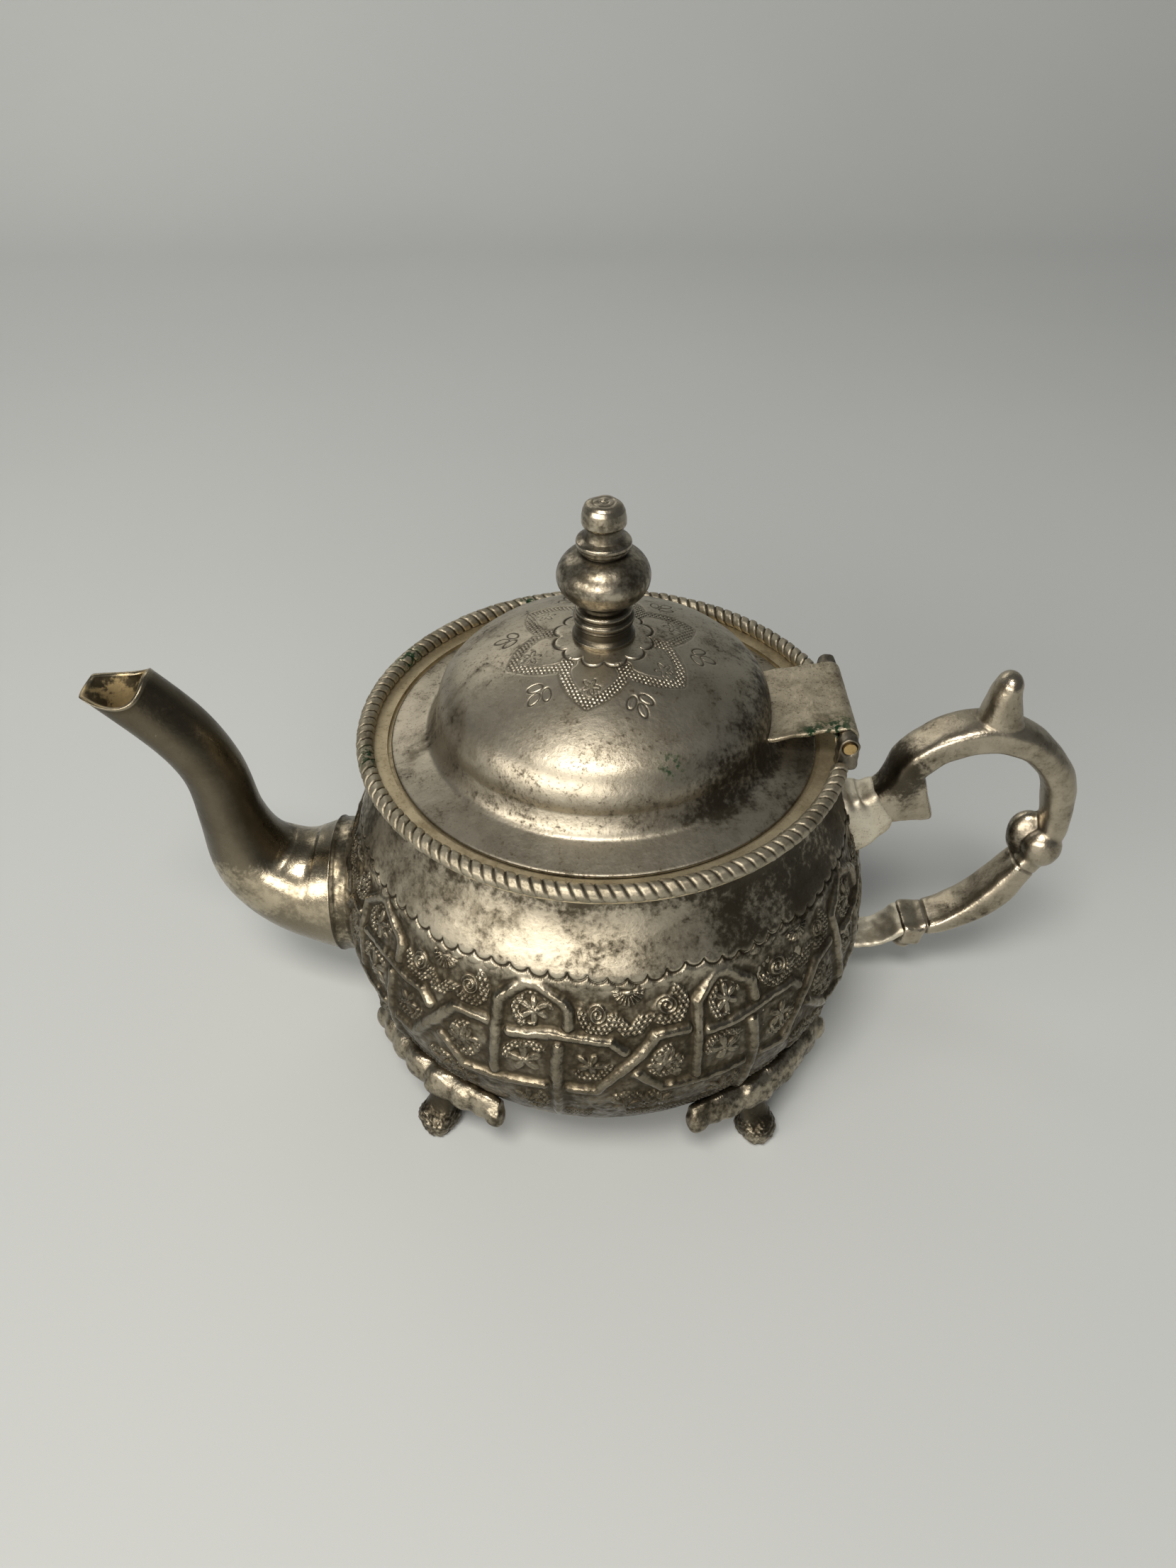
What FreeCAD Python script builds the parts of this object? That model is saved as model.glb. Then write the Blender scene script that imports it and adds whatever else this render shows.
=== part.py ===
import FreeCAD, Part
import math
import operator
import os

import Sketcher

# Silver teapot on four cast feet, with a hinged domed lid. Millimetres and degrees.
# The origin is on the pot's axis at the table, Z is up, X points to the handle
# and the spout lies towards minus X.

SIZES = {
    # pot wall, from the table up
    "bowl_lift": 6.0,
    "bowl_radius": 69.5,
    "bowl_corner": 31.0,
    "bowl_wall": 1.2,
    "base_rise": 7.0,
    "shoulder_curve": 70.0,
    "shoulder_rise": 37.0,
    "neck_step": 0.7,
    "neck_rise": 49.0,
    "neck_flare": 60.0,
    "solder_gap": 0.1,
    # chased band: ground sunk between straps, which are given by turn and height above the belly
    "chased_depth": 0.8,
    "chased_top": 31.0,
    "chased_bottom": -15.0,
    "chased_margin": 1.0,
    "strap_turn": -15.5,
    "strap_width": 2.4,
    "strap_post_foot_turn": -6.7,
    "strap_post_foot_up": 3.4,
    "strap_post_head_turn": -6.8,
    "strap_post_head_up": 24.2,
    "strap_peak_turn": -0.5,
    "strap_peak_up": 29.6,
    "strap_eave_turn": 7.0,
    "strap_eave_up": 24.8,
    "strap_drop_turn": 7.3,
    "strap_drop_up": 19.9,
    "strap_bar_left_turn": -4.3,
    "strap_bar_left_up": 16.6,
    "strap_bar_right_turn": 16.0,
    "strap_bar_right_up": 17.4,
    "strap_bar_hook_turn": 18.4,
    "strap_bar_hook_up": 14.4,
    "strap_stake_head_turn": 5.7,
    "strap_stake_head_up": 14.2,
    "strap_stake_foot_turn": 5.3,
    "strap_stake_foot_up": -13.0,
    "strap_dip_start_turn": -18.8,
    "strap_dip_start_up": 6.6,
    "strap_dip_low_turn": -13.9,
    "strap_dip_low_up": 0.3,
    "strap_dip_end_turn": 3.1,
    "strap_dip_end_up": 1.4,
    "strap_ramp_start_turn": 8.1,
    "strap_ramp_start_up": 1.2,
    "strap_ramp_low_turn": 13.6,
    "strap_ramp_low_up": 0.9,
    "strap_ramp_high_turn": 24.4,
    "strap_ramp_high_up": 17.3,
    "strap_ramp_end_turn": 30.7,
    "strap_ramp_end_up": 17.8,
    # strainer holes behind the spout
    "strainer_hole": 4.6,
    "strainer_ring": 8.6,
    # neck ring with the ledge for the lid
    "collar_rise": 4.6,
    "collar_plate": 1.0,
    "ledge_gap": 0.8,
    "ledge_width": 5.1,
    "ledge_margin": 0.8,
    "seat_drop": 1.0,
    "seat_width": 2.5,
    # rope wire on the ledge
    "rope_thick": 4.2,
    "rope_rise": 1.4,
    # lid
    "lid_radius": 51.5,
    "lid_clearance": 0.25,
    "lid_sheet": 1.0,
    "flange_width": 7.9,
    "flange_rise": 1.8,
    "dome_step": 3.6,
    "dome_foot": 6.6,
    "dome_flare": 6.0,
    "dome_rise": 20.0,
    "dome_side_curve": 12.0,
    "bezel_clearance": 0.7,
    "bezel_sheet": 1.0,
    "bezel_depth": 4.2,
    # finial and its fixing
    "stud_width": 4.0,
    "stud_fit": 0.1,
    "stud_grip": 9.0,
    "stud_tail": 6.0,
    "nut_across": 7.0,
    "nut_thick": 3.2,
    "washer_radius": 5.0,
    "washer_thick": 0.8,
    "finial_foot_radius": 6.4,
    "finial_foot_height": 2.4,
    "finial_ring_radius": 6.95,
    "finial_ring_height": 3.0,
    "finial_neck_radius": 4.6,
    "finial_neck_height": 3.2,
    "finial_neck_curve": 6.4,
    "finial_ball_radius": 10.6,
    "finial_ball_height": 13.4,
    "finial_ball_curve": 7.4,
    "finial_waist_radius": 5.3,
    "finial_disc_radius": 6.2,
    "finial_disc_height": 3.0,
    "finial_throat_radius": 4.0,
    "finial_throat_height": 1.2,
    "finial_cap_radius": 4.9,
    "finial_cap_height": 7.0,
    "finial_cap_curve": 4.2,
    "finial_cap_flat": 2.9,
    # hinge
    "hinge_inset": 1.2,
    "hinge_up": 6.4,
    "pin_width": 3.0,
    "pin_clearance": 0.05,
    "pin_overhang": 0.5,
    "leaf_width": 27.0,
    "leaf_sheet": 1.0,
    "leaf_barrel": 6.0,
    "leaf_lap": 6.0,
    "leaf_drop": 3.2,
    "eye_width": 3.5,
    "eye_barrel": 5.0,
    "eye_clearance": 0.3,
    "eye_root_in": 3.4,
    "eye_root_out": 1.2,
    # spout: distance out from the pot, height above the belly, width and heading
    "spout_wall": 1.1,
    "spout_root_out": 2.0,
    "spout_root_up": 0.0,
    "spout_root_width": 36.0,
    "spout_root_heading": 180.0,
    "spout_throat_out": 9.5,
    "spout_throat_up": 0.8,
    "spout_throat_width": 31.5,
    "spout_throat_heading": 168.0,
    "spout_elbow_out": 21.5,
    "spout_elbow_up": 8.4,
    "spout_elbow_width": 25.0,
    "spout_elbow_heading": 130.0,
    "spout_riser_out": 26.8,
    "spout_riser_up": 25.0,
    "spout_riser_width": 17.4,
    "spout_riser_heading": 98.0,
    "spout_waist_out": 28.6,
    "spout_waist_up": 41.5,
    "spout_waist_width": 15.7,
    "spout_waist_heading": 105.0,
    "spout_crest_out": 35.1,
    "spout_crest_up": 55.0,
    "spout_crest_width": 15.6,
    "spout_crest_heading": 126.0,
    "spout_lip_out": 49.0,
    "spout_lip_up": 69.8,
    "spout_lip_width": 15.8,
    "spout_lip_heading": 134.0,
    "spout_cut_out": 45.0,
    "spout_cut_up": 68.2,
    "spout_cut_slope": 17.0,
    "ring_margin": 0.6,
    "ring_sheet": 1.7,
    # handle: distance out from the pot, height above the belly, heading, thickness and width
    "handle_bevel": 1.1,
    "handle_neck_out": 3.5,
    "handle_neck_up": 28.0,
    "handle_neck_heading": 54.0,
    "handle_neck_thick": 8.0,
    "handle_neck_width": 10.0,
    "handle_rise_out": 6.8,
    "handle_rise_up": 39.3,
    "handle_rise_heading": 76.0,
    "handle_rise_thick": 7.5,
    "handle_rise_width": 11.0,
    "handle_bend_out": 12.6,
    "handle_bend_up": 47.3,
    "handle_bend_heading": 38.0,
    "handle_bend_thick": 7.0,
    "handle_bend_width": 11.5,
    "handle_crown_out": 23.7,
    "handle_crown_up": 51.4,
    "handle_crown_heading": 6.0,
    "handle_crown_thick": 6.6,
    "handle_crown_width": 12.0,
    "handle_fall_out": 37.8,
    "handle_fall_up": 45.5,
    "handle_fall_heading": 318.0,
    "handle_fall_thick": 6.5,
    "handle_fall_width": 11.5,
    "handle_side_out": 45.7,
    "handle_side_up": 31.5,
    "handle_side_heading": 277.0,
    "handle_side_thick": 6.4,
    "handle_side_width": 10.5,
    "handle_heel_out": 46.3,
    "handle_heel_up": 17.0,
    "handle_heel_heading": 263.0,
    "handle_heel_thick": 6.6,
    "handle_heel_width": 10.5,
    "handle_lower_out": 41.0,
    "handle_lower_up": 1.8,
    "handle_lower_heading": 234.0,
    "handle_lower_thick": 6.4,
    "handle_lower_width": 11.0,
    "handle_sweep_out": 31.7,
    "handle_sweep_up": -10.7,
    "handle_sweep_heading": 214.0,
    "handle_sweep_thick": 5.4,
    "handle_sweep_width": 11.5,
    "handle_tail_out": 20.5,
    "handle_tail_up": -16.9,
    "handle_tail_heading": 192.0,
    "handle_tail_thick": 4.0,
    "handle_tail_width": 11.5,
    "knuckle_radius": 7.2,
    "knuckle_width": 13.0,
    "knuckle_up": 14.5,
    "thumb_width": 7.0,
    "thumb_root": 11.0,
    "thumb_tip": 4.2,
    "thumb_curve": 2.5,
    "thumb_rise": 17.0,
    "thumb_lean": 2.6,
    "thumb_sink": 1.0,
    "spur_width": 8.0,
    "spur_reach": 11.6,
    "spur_drop": 3.6,
    "spur_height": 12.0,
    "block_length": 6.5,
    "block_width": 13.0,
    "block_height": 8.6,
    "block_edge": 1.5,
    # sockets that carry the handle on the pot
    "socket_foot_depth": 12.0,
    "socket_foot_thick": 18.0,
    "socket_foot_width": 14.0,
    "socket_edge": 2.2,
    "tab_thick": 2.0,
    "tab_width": 11.0,
    "tab_root": 12.0,
    "tab_flare": 6.0,
    # feet
    "foot_angle": 50.5,
    "foot_turn": -2.4,
    "wing_span": 41.0,
    "wing_thick": 2.8,
    "wing_top_angle": 30.0,
    "wing_seat_angle": 42.0,
    "wing_low": 12.0,
    "wing_inset": 2.5,
    "leg_width": 9.0,
    "leg_thick": 4.0,
    "paw_width": 12.5,
    "paw_height": 5.0,
    "paw_inset": 8.5,
    "paw_length": 11.5,
    "paw_edge": 1.5,
}

OPERATIONS = {"+": operator.add, "-": operator.sub, "*": operator.mul, "/": operator.truediv}


class Size:
    """A dimension with its number and the sheet formula that drives it."""

    def __init__(self, value, formula):
        self.value = value
        self.formula = formula

    def __add__(self, other):
        return combine(self, "+", other)

    def __sub__(self, other):
        return combine(self, "-", other)

    def __mul__(self, other):
        return combine(self, "*", other)

    def __truediv__(self, other):
        return combine(self, "/", other)

    def __neg__(self):
        return combine(Size(0.0, "0"), "-", self)


def as_size(number):
    """A Size for a plain number, or the Size itself."""
    if isinstance(number, Size):
        return number
    return Size(float(number), repr(float(number)))


def combine(first, sign, second):
    """The Size that joins two others with one arithmetic sign."""
    second = as_size(second)
    value = OPERATIONS[sign](first.value, second.value)
    return Size(value, "(%s %s %s)" % (first.formula, sign, second.formula))


def sine(angle):
    """Sine of an angle in degrees."""
    return Size(math.sin(math.radians(angle.value)), "sin(%s)" % angle.formula)


def cosine(angle):
    """Cosine of an angle in degrees."""
    return Size(math.cos(math.radians(angle.value)), "cos(%s)" % angle.formula)


def tangent(angle):
    """Tangent of an angle in degrees."""
    return Size(math.tan(math.radians(angle.value)), "tan(%s)" % angle.formula)


def arcsine(ratio):
    """Angle in degrees whose sine is the ratio."""
    return Size(math.degrees(math.asin(ratio.value)), "(asin(%s) / 1 deg)" % ratio.formula)


def root(square):
    """Square root of a Size."""
    return Size(math.sqrt(square.value), "sqrt(%s)" % square.formula)


def leg_of(long_side, short_side):
    """Third side of a right triangle."""
    return root(long_side * long_side - short_side * short_side)


doc = FreeCAD.newDocument("teapot")
sheet = doc.addObject("Spreadsheet::Sheet", "Sheet")


def fill_sheet():
    """Put each driving dimension in a cell with its name as alias."""
    sizes = {}
    for row, (name, number) in enumerate(SIZES.items(), start=1):
        sheet.set("A%d" % row, name)
        sheet.set("B%d" % row, str(number))
        sheet.setAlias("B%d" % row, name)
        sizes[name] = Size(number, "Sheet.%s" % name)
    doc.recompute()
    return sizes


size = fill_sheet()

ZERO = as_size(0.0)
HALF_TURN = as_size(180.0)
FULL_TURN = as_size(360.0)
STRAINER_COUNT = 6
NUT_SIDES = 6
STRAP_REPEATS = 9

# widths from the lid's edge outwards and inwards
ledge_radius = size["lid_radius"] + size["ledge_gap"]
rope_radius = ledge_radius + size["ledge_width"]
collar_radius = rope_radius + size["ledge_margin"]
neck_radius = ledge_radius + size["neck_step"]
mouth_radius = size["lid_radius"] - size["seat_width"]
flange_radius = size["lid_radius"] - size["flange_width"]
dome_radius = flange_radius - size["dome_step"]
hinge_out = rope_radius - size["hinge_inset"]
leaf_root_out = dome_radius - size["leaf_lap"]

# heights and places that several pieces share
belly_height = size["bowl_lift"] + size["bowl_corner"]
bowl_top = belly_height + size["neck_rise"]
ledge_height = bowl_top + size["collar_rise"]
seat_height = ledge_height - size["seat_drop"]
rope_height = ledge_height + size["rope_rise"]
lid_under = seat_height + size["lid_clearance"]
lid_edge_top = lid_under + size["lid_sheet"]
flange_top = lid_edge_top + size["flange_rise"]
dome_spring = lid_edge_top + size["dome_foot"]
dome_top = dome_spring + size["dome_rise"]
hinge_height = ledge_height + size["hinge_up"]
ring_width = size["spout_root_width"] + size["ring_margin"] * 2
eye_start = size["leaf_width"] / 2 + size["eye_clearance"]
eye_end = eye_start + size["eye_width"]

published = []


def new_body(name):
    """An empty body with its label."""
    body = doc.addObject("PartDesign::Body", name)
    body.Label = name
    return body


def bind(item, path, length):
    """Drive one property of an object by the sheet."""
    item.setExpression(path, length.formula)


def origin_item(body, role):
    """One of the body's own planes or axes."""
    return [item for item in body.Origin.OriginFeatures if item.Role == role][0]


def new_sketch(body, name, role="XZ_Plane", offset=None):
    """A sketch on one of the body's own planes, moved along its normal if asked."""
    sketch = body.newObject("Sketcher::SketchObject", name)
    sketch.AttachmentSupport = [(origin_item(body, role), "")]
    sketch.MapMode = "FlatFace"
    if offset is not None:
        bind(sketch, "AttachmentOffset.Base.z", offset)
    return sketch


def section_sketch(body, name, out, up, heading):
    """A sketch square to a path in the XZ plane, at a place with a heading from +X to +Z."""
    sketch = new_sketch(body, name, "YZ_Plane")
    tilt = FreeCAD.Rotation(FreeCAD.Vector(-1, 0, 0), heading.value)
    sketch.AttachmentOffset = FreeCAD.Placement(FreeCAD.Vector(0, up.value, out.value), tilt)
    bind(sketch, "AttachmentOffset.Base.y", up)
    bind(sketch, "AttachmentOffset.Base.z", out)
    bind(sketch, "AttachmentOffset.Rotation.Angle", heading)
    return sketch


def pin_point(sketch, geometry, end, across, along):
    """Fix one end of a sketch line or arc by its two coordinates."""
    for kind, axis, length in (("DistanceX", -2, across), ("DistanceY", -1, along)):
        if length.value == 0.0:
            sketch.addConstraint(Sketcher.Constraint("PointOnObject", geometry, end, axis))
            continue
        index = sketch.addConstraint(
            Sketcher.Constraint(kind, -1, 1, geometry, end, length.value))
        bind(sketch, "Constraints[%d]" % index, length)


def arc_between(start, end, radius, turn):
    """Arc of under half a circle, turning left (1) or right (-1) on its way."""
    chord = end - start
    middle = (start + end) * 0.5
    side = FreeCAD.Vector(-chord.y, chord.x, 0) * turn
    side.normalize()
    centre = middle + side * math.sqrt(radius ** 2 - (chord.Length / 2) ** 2)
    first, last = (start, end) if turn > 0 else (end, start)
    begin = math.atan2(first.y - centre.y, first.x - centre.x)
    finish = math.atan2(last.y - centre.y, last.x - centre.x)
    if finish < begin:
        finish += 2 * math.pi
    circle = Part.Circle(centre, FreeCAD.Vector(0, 0, 1), radius)
    return Part.ArcOfCircle(circle, begin, finish)


def outline(sketch, start, *steps):
    """Closed outline. A step is (x, y) for a line or (x, y, radius, turn) for an arc."""
    corners = [start] + [step[:2] for step in steps]
    spots = [FreeCAD.Vector(x.value, y.value, 0) for x, y in corners]
    if corners[-1] == start:
        corners.pop()
    else:
        spots.append(spots[0])
        steps = steps + ((),)
    ends = []
    for number, step in enumerate(steps):
        begin, finish = spots[number], spots[number + 1]
        if len(step) == 4:
            radius, turn = step[2], step[3]
            edge = sketch.addGeometry(arc_between(begin, finish, radius.value, turn), False)
            index = sketch.addConstraint(Sketcher.Constraint("Radius", edge, radius.value))
            bind(sketch, "Constraints[%d]" % index, radius)
            ends.append((edge, 1, 2) if turn > 0 else (edge, 2, 1))
        else:
            edge = sketch.addGeometry(Part.LineSegment(begin, finish), False)
            ends.append((edge, 1, 2))
    for number, (edge, first, last) in enumerate(ends):
        following = ends[(number + 1) % len(ends)]
        sketch.addConstraint(
            Sketcher.Constraint("Coincident", edge, last, following[0], following[1]))
        pin_point(sketch, edge, first, *corners[number])


def add_circle(sketch, across, along, width):
    """A circle fixed by its centre and diameter."""
    centre = FreeCAD.Vector(across.value, along.value, 0)
    edge = sketch.addGeometry(Part.Circle(centre, FreeCAD.Vector(0, 0, 1), width.value / 2), False)
    index = sketch.addConstraint(Sketcher.Constraint("Diameter", edge, width.value))
    bind(sketch, "Constraints[%d]" % index, width)
    pin_point(sketch, edge, 3, across, along)


def bevelled(sketch, width, thick, edge):
    """A rectangle round the sketch origin with its corners cut off."""
    x, y = width / 2, thick / 2
    a, b = x - edge, y - edge
    outline(sketch, (a, -y), (x, -b), (x, b), (a, y), (-a, y), (-x, b), (-x, -b), (-a, -y))


def revolve(body, sketch, angle=FULL_TURN):
    """Turn a profile about Z, evenly to both sides of the sketch plane."""
    turned = body.newObject("PartDesign::Revolution", body.Name + "_turned")
    turned.Profile = sketch
    turned.ReferenceAxis = (sketch, ["V_Axis"])
    turned.Midplane = True
    bind(turned, "Angle", angle)
    return turned


def pad(body, sketch, length, both_ways=True):
    """Raise an outline, evenly to both sides or along the sketch normal."""
    raised = body.newObject("PartDesign::Pad", sketch.Name + "_pad")
    raised.Profile = sketch
    raised.Midplane = both_ways
    bind(raised, "Length", length)
    return raised


def loft(body, sketches, cut=False):
    """A smooth skin through sections, added to the body or cut from it."""
    kind = "PartDesign::SubtractiveLoft" if cut else "PartDesign::AdditiveLoft"
    skin = body.newObject(kind, sketches[0].Name + "_loft")
    skin.Profile = sketches[0]
    skin.Sections = sketches[1:]
    return skin


def cut_with(name, base, *tools):
    """The base without the room that the tools take."""
    cut = base
    for number, tool in enumerate(tools):
        result = doc.addObject("Part::Cut", "%s_cut_%d" % (base.Name, number))
        result.Base = cut
        result.Tool = tool
        cut = result
    cut.Label = name
    return cut


def publish(item):
    """Mark an object as one of the teapot's pieces."""
    published.append(item)
    return item


# Pot

def bowl_way(offset):
    """Outer curve of the pot wall from its bottom corner to its top, moved out by an offset."""
    centre = size["bowl_radius"] - size["bowl_corner"]
    corner = size["bowl_corner"] + offset
    shoulder = size["shoulder_curve"] + offset
    rise = size["shoulder_rise"] * shoulder / size["shoulder_curve"]
    shoulder_out = size["bowl_radius"] + offset - shoulder + leg_of(shoulder, rise)
    return [
        (centre, belly_height - corner),
        (centre + corner, belly_height, corner, 1),
        (shoulder_out, belly_height + rise, shoulder, 1),
        (neck_radius + offset, bowl_top, size["neck_flare"] - offset, -1),
    ]


def seam_spot(offset):
    """Where the pot wall meets its base, on the outer curve moved out by an offset."""
    up = size["bowl_lift"] + size["base_rise"]
    corner = size["bowl_corner"] + offset
    return size["bowl_radius"] - size["bowl_corner"] + leg_of(corner, belly_height - up), up


def wall_way(offset):
    """Outer curve of the pot wall from its seam to its top, moved out by an offset."""
    return [seam_spot(offset)] + bowl_way(offset)[1:]


def way_back(way):
    """The same curve walked the other way."""
    steps = []
    for number in range(len(way) - 1, 0, -1):
        bend = way[number][2:]
        if bend:
            bend = (bend[0], -bend[1])
        steps.append(way[number - 1][:2] + bend)
    return way[-1][:2], steps


def even_angles(count):
    """Angles spread evenly round a circle, the first one half a step on."""
    for number in range(count):
        yield FULL_TURN / count * number + HALF_TURN / count


def strainer_spots():
    """Centre hole and a ring of holes round it, as seen along the spout."""
    yield ZERO, belly_height
    ring = size["strainer_ring"]
    for angle in even_angles(STRAINER_COUNT):
        yield ring * cosine(angle), belly_height + ring * sine(angle)


def make_base():
    """Dished bottom of the pot, soldered to the wall."""
    body = new_body("body_base")
    profile = new_sketch(body, "base_profile")
    wall = size["bowl_wall"]
    flat = size["bowl_radius"] - size["bowl_corner"]
    floor = size["bowl_lift"] + wall
    outline(
        profile,
        (ZERO, size["bowl_lift"]),
        (flat, size["bowl_lift"]),
        seam_spot(ZERO) + (size["bowl_corner"], 1),
        seam_spot(-wall),
        (flat, floor, size["bowl_corner"] - wall, -1),
        (ZERO, floor),
    )
    revolve(body, profile)
    return publish(body)


STRAP_CHAINS = (
    ("post_foot", "post_head", "peak", "eave", "drop"),
    ("bar_left", "bar_right", "bar_hook"),
    ("stake_head", "stake_foot"),
    ("dip_start", "dip_low", "dip_end"),
    ("ramp_start", "ramp_low", "ramp_high", "ramp_end"),
)


def wall_radius(rise, offset):
    """Radius of the pot wall at a height above its belly, moved out by an offset."""
    curve = size["shoulder_curve"] if rise.value > 0 else size["bowl_corner"]
    return size["bowl_radius"] - curve + leg_of(curve + offset, rise)


def strap_spot(name):
    """Corner of a strap as seen from the front, with the middle of its unit ahead."""
    rise = size["strap_%s_up" % name]
    return wall_radius(rise, ZERO) * sine(size["strap_%s_turn" % name]), belly_height + rise


def add_strap(body, first, last):
    """Straight bar between two corners of a strap, through the wall and lapping its neighbours."""
    (start_x, start_z), (end_x, end_z) = strap_spot(first), strap_spot(last)
    across, along = end_x - start_x, end_z - start_z
    length = root(across * across + along * along)
    half = size["strap_width"] / 2
    ahead_x, ahead_z = across / length * half, along / length * half
    bar = new_sketch(body, "strap_%s_%s" % (first, last), offset=size["bowl_radius"] / 2)
    outline(
        bar,
        (start_x - ahead_x + ahead_z, start_z - ahead_z - ahead_x),
        (end_x + ahead_x + ahead_z, end_z + ahead_z - ahead_x),
        (end_x + ahead_x - ahead_z, end_z + ahead_z + ahead_x),
        (start_x - ahead_x - ahead_z, start_z - ahead_z + ahead_x),
    )
    return pad(body, bar, size["bowl_radius"], both_ways=False)


def make_straps():
    """Interlaced straps of all units, as bars that stand through the wall."""
    body = new_body("strap_form")
    bars = []
    for chain in STRAP_CHAINS:
        for first, last in zip(chain, chain[1:]):
            bars.append(add_strap(body, first, last))
    ring = body.newObject("PartDesign::PolarPattern", "strap_ring")
    ring.Originals = bars
    ring.Axis = (origin_item(body, "Z_Axis"), [""])
    ring.Occurrences = STRAP_REPEATS
    bind(ring, "Angle", FULL_TURN)
    body.Tip = ring
    bind(body, "Placement.Rotation.Angle", FULL_TURN + size["strap_turn"])
    return body


def make_plain_spots():
    """Room on the wall that stays plain, under the spout's seam and under the handle's socket."""
    body = new_body("plain_spots")
    seam = new_sketch(body, "plain_seam", "YZ_Plane")
    margin = size["chased_margin"] * 2
    add_circle(seam, ZERO, belly_height + size["spout_root_up"], ring_width + margin)
    pad(body, seam, size["bowl_radius"] * 2, both_ways=False).Reversed = True
    socket = new_sketch(body, "plain_socket", "YZ_Plane")
    heading = size["handle_neck_heading"]
    up = belly_height + size["handle_neck_up"] - size["socket_foot_depth"] * sine(heading) / 2
    wide, thick = size["socket_foot_width"], size["socket_foot_thick"]
    add_circle(socket, ZERO, up, root(wide * wide + thick * thick) + margin)
    pad(body, socket, size["bowl_radius"] * 2, both_ways=False)
    return body


def make_chased_ground():
    """The metal that is sunk between the straps."""
    body = new_body("chased_band")
    profile = new_sketch(body, "chased_profile")
    depth = size["chased_depth"]
    low, high = size["chased_bottom"], size["chased_top"]
    outside = size["bowl_radius"] + depth
    outline(
        profile,
        (wall_radius(low, -depth), belly_height + low),
        (size["bowl_radius"] - depth, belly_height, size["bowl_corner"] - depth, 1),
        (wall_radius(high, -depth), belly_height + high, size["shoulder_curve"] - depth, 1),
        (outside, belly_height + high),
        (outside, belly_height + low),
    )
    revolve(body, profile)
    return cut_with("chased_ground", body, make_straps(), make_plain_spots())


def make_bowl():
    """Pot wall with its chased band and the strainer holes behind the spout."""
    body = new_body("bowl_blank")
    profile = new_sketch(body, "bowl_profile")
    outer = wall_way(ZERO)
    inner_top, inner_steps = way_back(wall_way(-size["bowl_wall"] - size["chased_depth"]))
    outline(profile, *outer, inner_top, *inner_steps)
    revolve(body, profile)
    doc.recompute()
    whole = body.Shape.Volume
    holes = new_sketch(body, "strainer_holes", "YZ_Plane")
    for across, along in strainer_spots():
        add_circle(holes, across, along, size["strainer_hole"])
    strainer = body.newObject("PartDesign::Pocket", "strainer")
    strainer.Profile = holes
    strainer.Type = "Length"
    strainer.Reversed = False
    bind(strainer, "Length", size["bowl_radius"] + size["bowl_wall"])
    doc.recompute()
    if body.Shape.Volume >= whole:
        raise RuntimeError("the strainer holes cut nothing")
    return publish(cut_with("body_bowl", body, make_chased_ground()))


def make_bowl_form():
    """The pot as a filled form with its solder gap, for fitting other pieces to it."""
    body = new_body("bowl_form")
    profile = new_sketch(body, "bowl_form_profile")
    way = bowl_way(size["solder_gap"])
    outline(profile, (ZERO, way[0][1]), *way, (ZERO, bowl_top))
    revolve(body, profile)
    return body


def make_collar():
    """Neck ring: skirt on the pot, ledge outside and seat for the lid inside."""
    body = new_body("rim_collar")
    profile = new_sketch(body, "collar_profile")
    skirt_in = neck_radius - size["bowl_wall"]
    under = ledge_height - size["collar_plate"]
    seat_under = seat_height - size["collar_plate"]
    outline(
        profile,
        (skirt_in, bowl_top),
        (neck_radius, bowl_top),
        (neck_radius, under),
        (collar_radius, under),
        (collar_radius, ledge_height),
        (ledge_radius, ledge_height),
        (ledge_radius, seat_height),
        (mouth_radius, seat_height),
        (mouth_radius, seat_under),
        (skirt_in, seat_under),
    )
    revolve(body, profile)
    return publish(body)


def make_rope():
    """Round wire with a flat underside, open where the hinge stands."""
    body = new_body("rope_border")
    profile = new_sketch(body, "rope_profile")
    radius = size["rope_thick"] / 2
    flat = leg_of(radius, size["rope_rise"])
    left = (-rope_radius - flat, ledge_height)
    right = (-rope_radius + flat, ledge_height)
    top = (-rope_radius, rope_height + radius)
    outline(profile, left, right, top + (radius, 1), left + (radius, 1))
    gap = arcsine((eye_end + size["pin_overhang"] + size["eye_clearance"]) / rope_radius)
    revolve(body, profile, FULL_TURN - gap * 2)
    return publish(body)


# Spout

SPOUT_STATIONS = ("root", "throat", "elbow", "riser", "waist", "crest", "lip")


def spout_sections(body, label, inset):
    """Round sections along the spout, smaller by an inset all round."""
    sketches = []
    for station in SPOUT_STATIONS:
        key = "spout_%s_" % station
        out = -(size["bowl_radius"] + size[key + "out"])
        up = belly_height + size[key + "up"]
        sketch = section_sketch(body, "spout_%s_%s" % (label, station), out, up, size[key + "heading"])
        add_circle(sketch, ZERO, ZERO, size[key + "width"] - inset * 2)
        sketches.append(sketch)
    return sketches


def make_spout():
    """Curved tapering tube with an oblique mouth."""
    body = new_body("spout")
    loft(body, spout_sections(body, "skin", ZERO))
    doc.recompute()
    loft(body, spout_sections(body, "bore", size["spout_wall"]), cut=True)
    mouth = new_sketch(body, "spout_mouth")
    reach = size["spout_lip_width"] * 2
    low = size["spout_cut_up"] + belly_height
    slope = tangent(size["spout_cut_slope"])
    centre = -(size["bowl_radius"] + size["spout_cut_out"])
    outline(
        mouth,
        (centre - reach, low - reach * slope),
        (centre + reach, low + reach * slope),
        (centre + reach, low + reach),
        (centre - reach, low + reach),
    )
    trim = body.newObject("PartDesign::Pocket", "spout_trim")
    trim.Profile = mouth
    trim.Midplane = True
    bind(trim, "Length", reach * 2)
    return publish(body)


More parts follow.
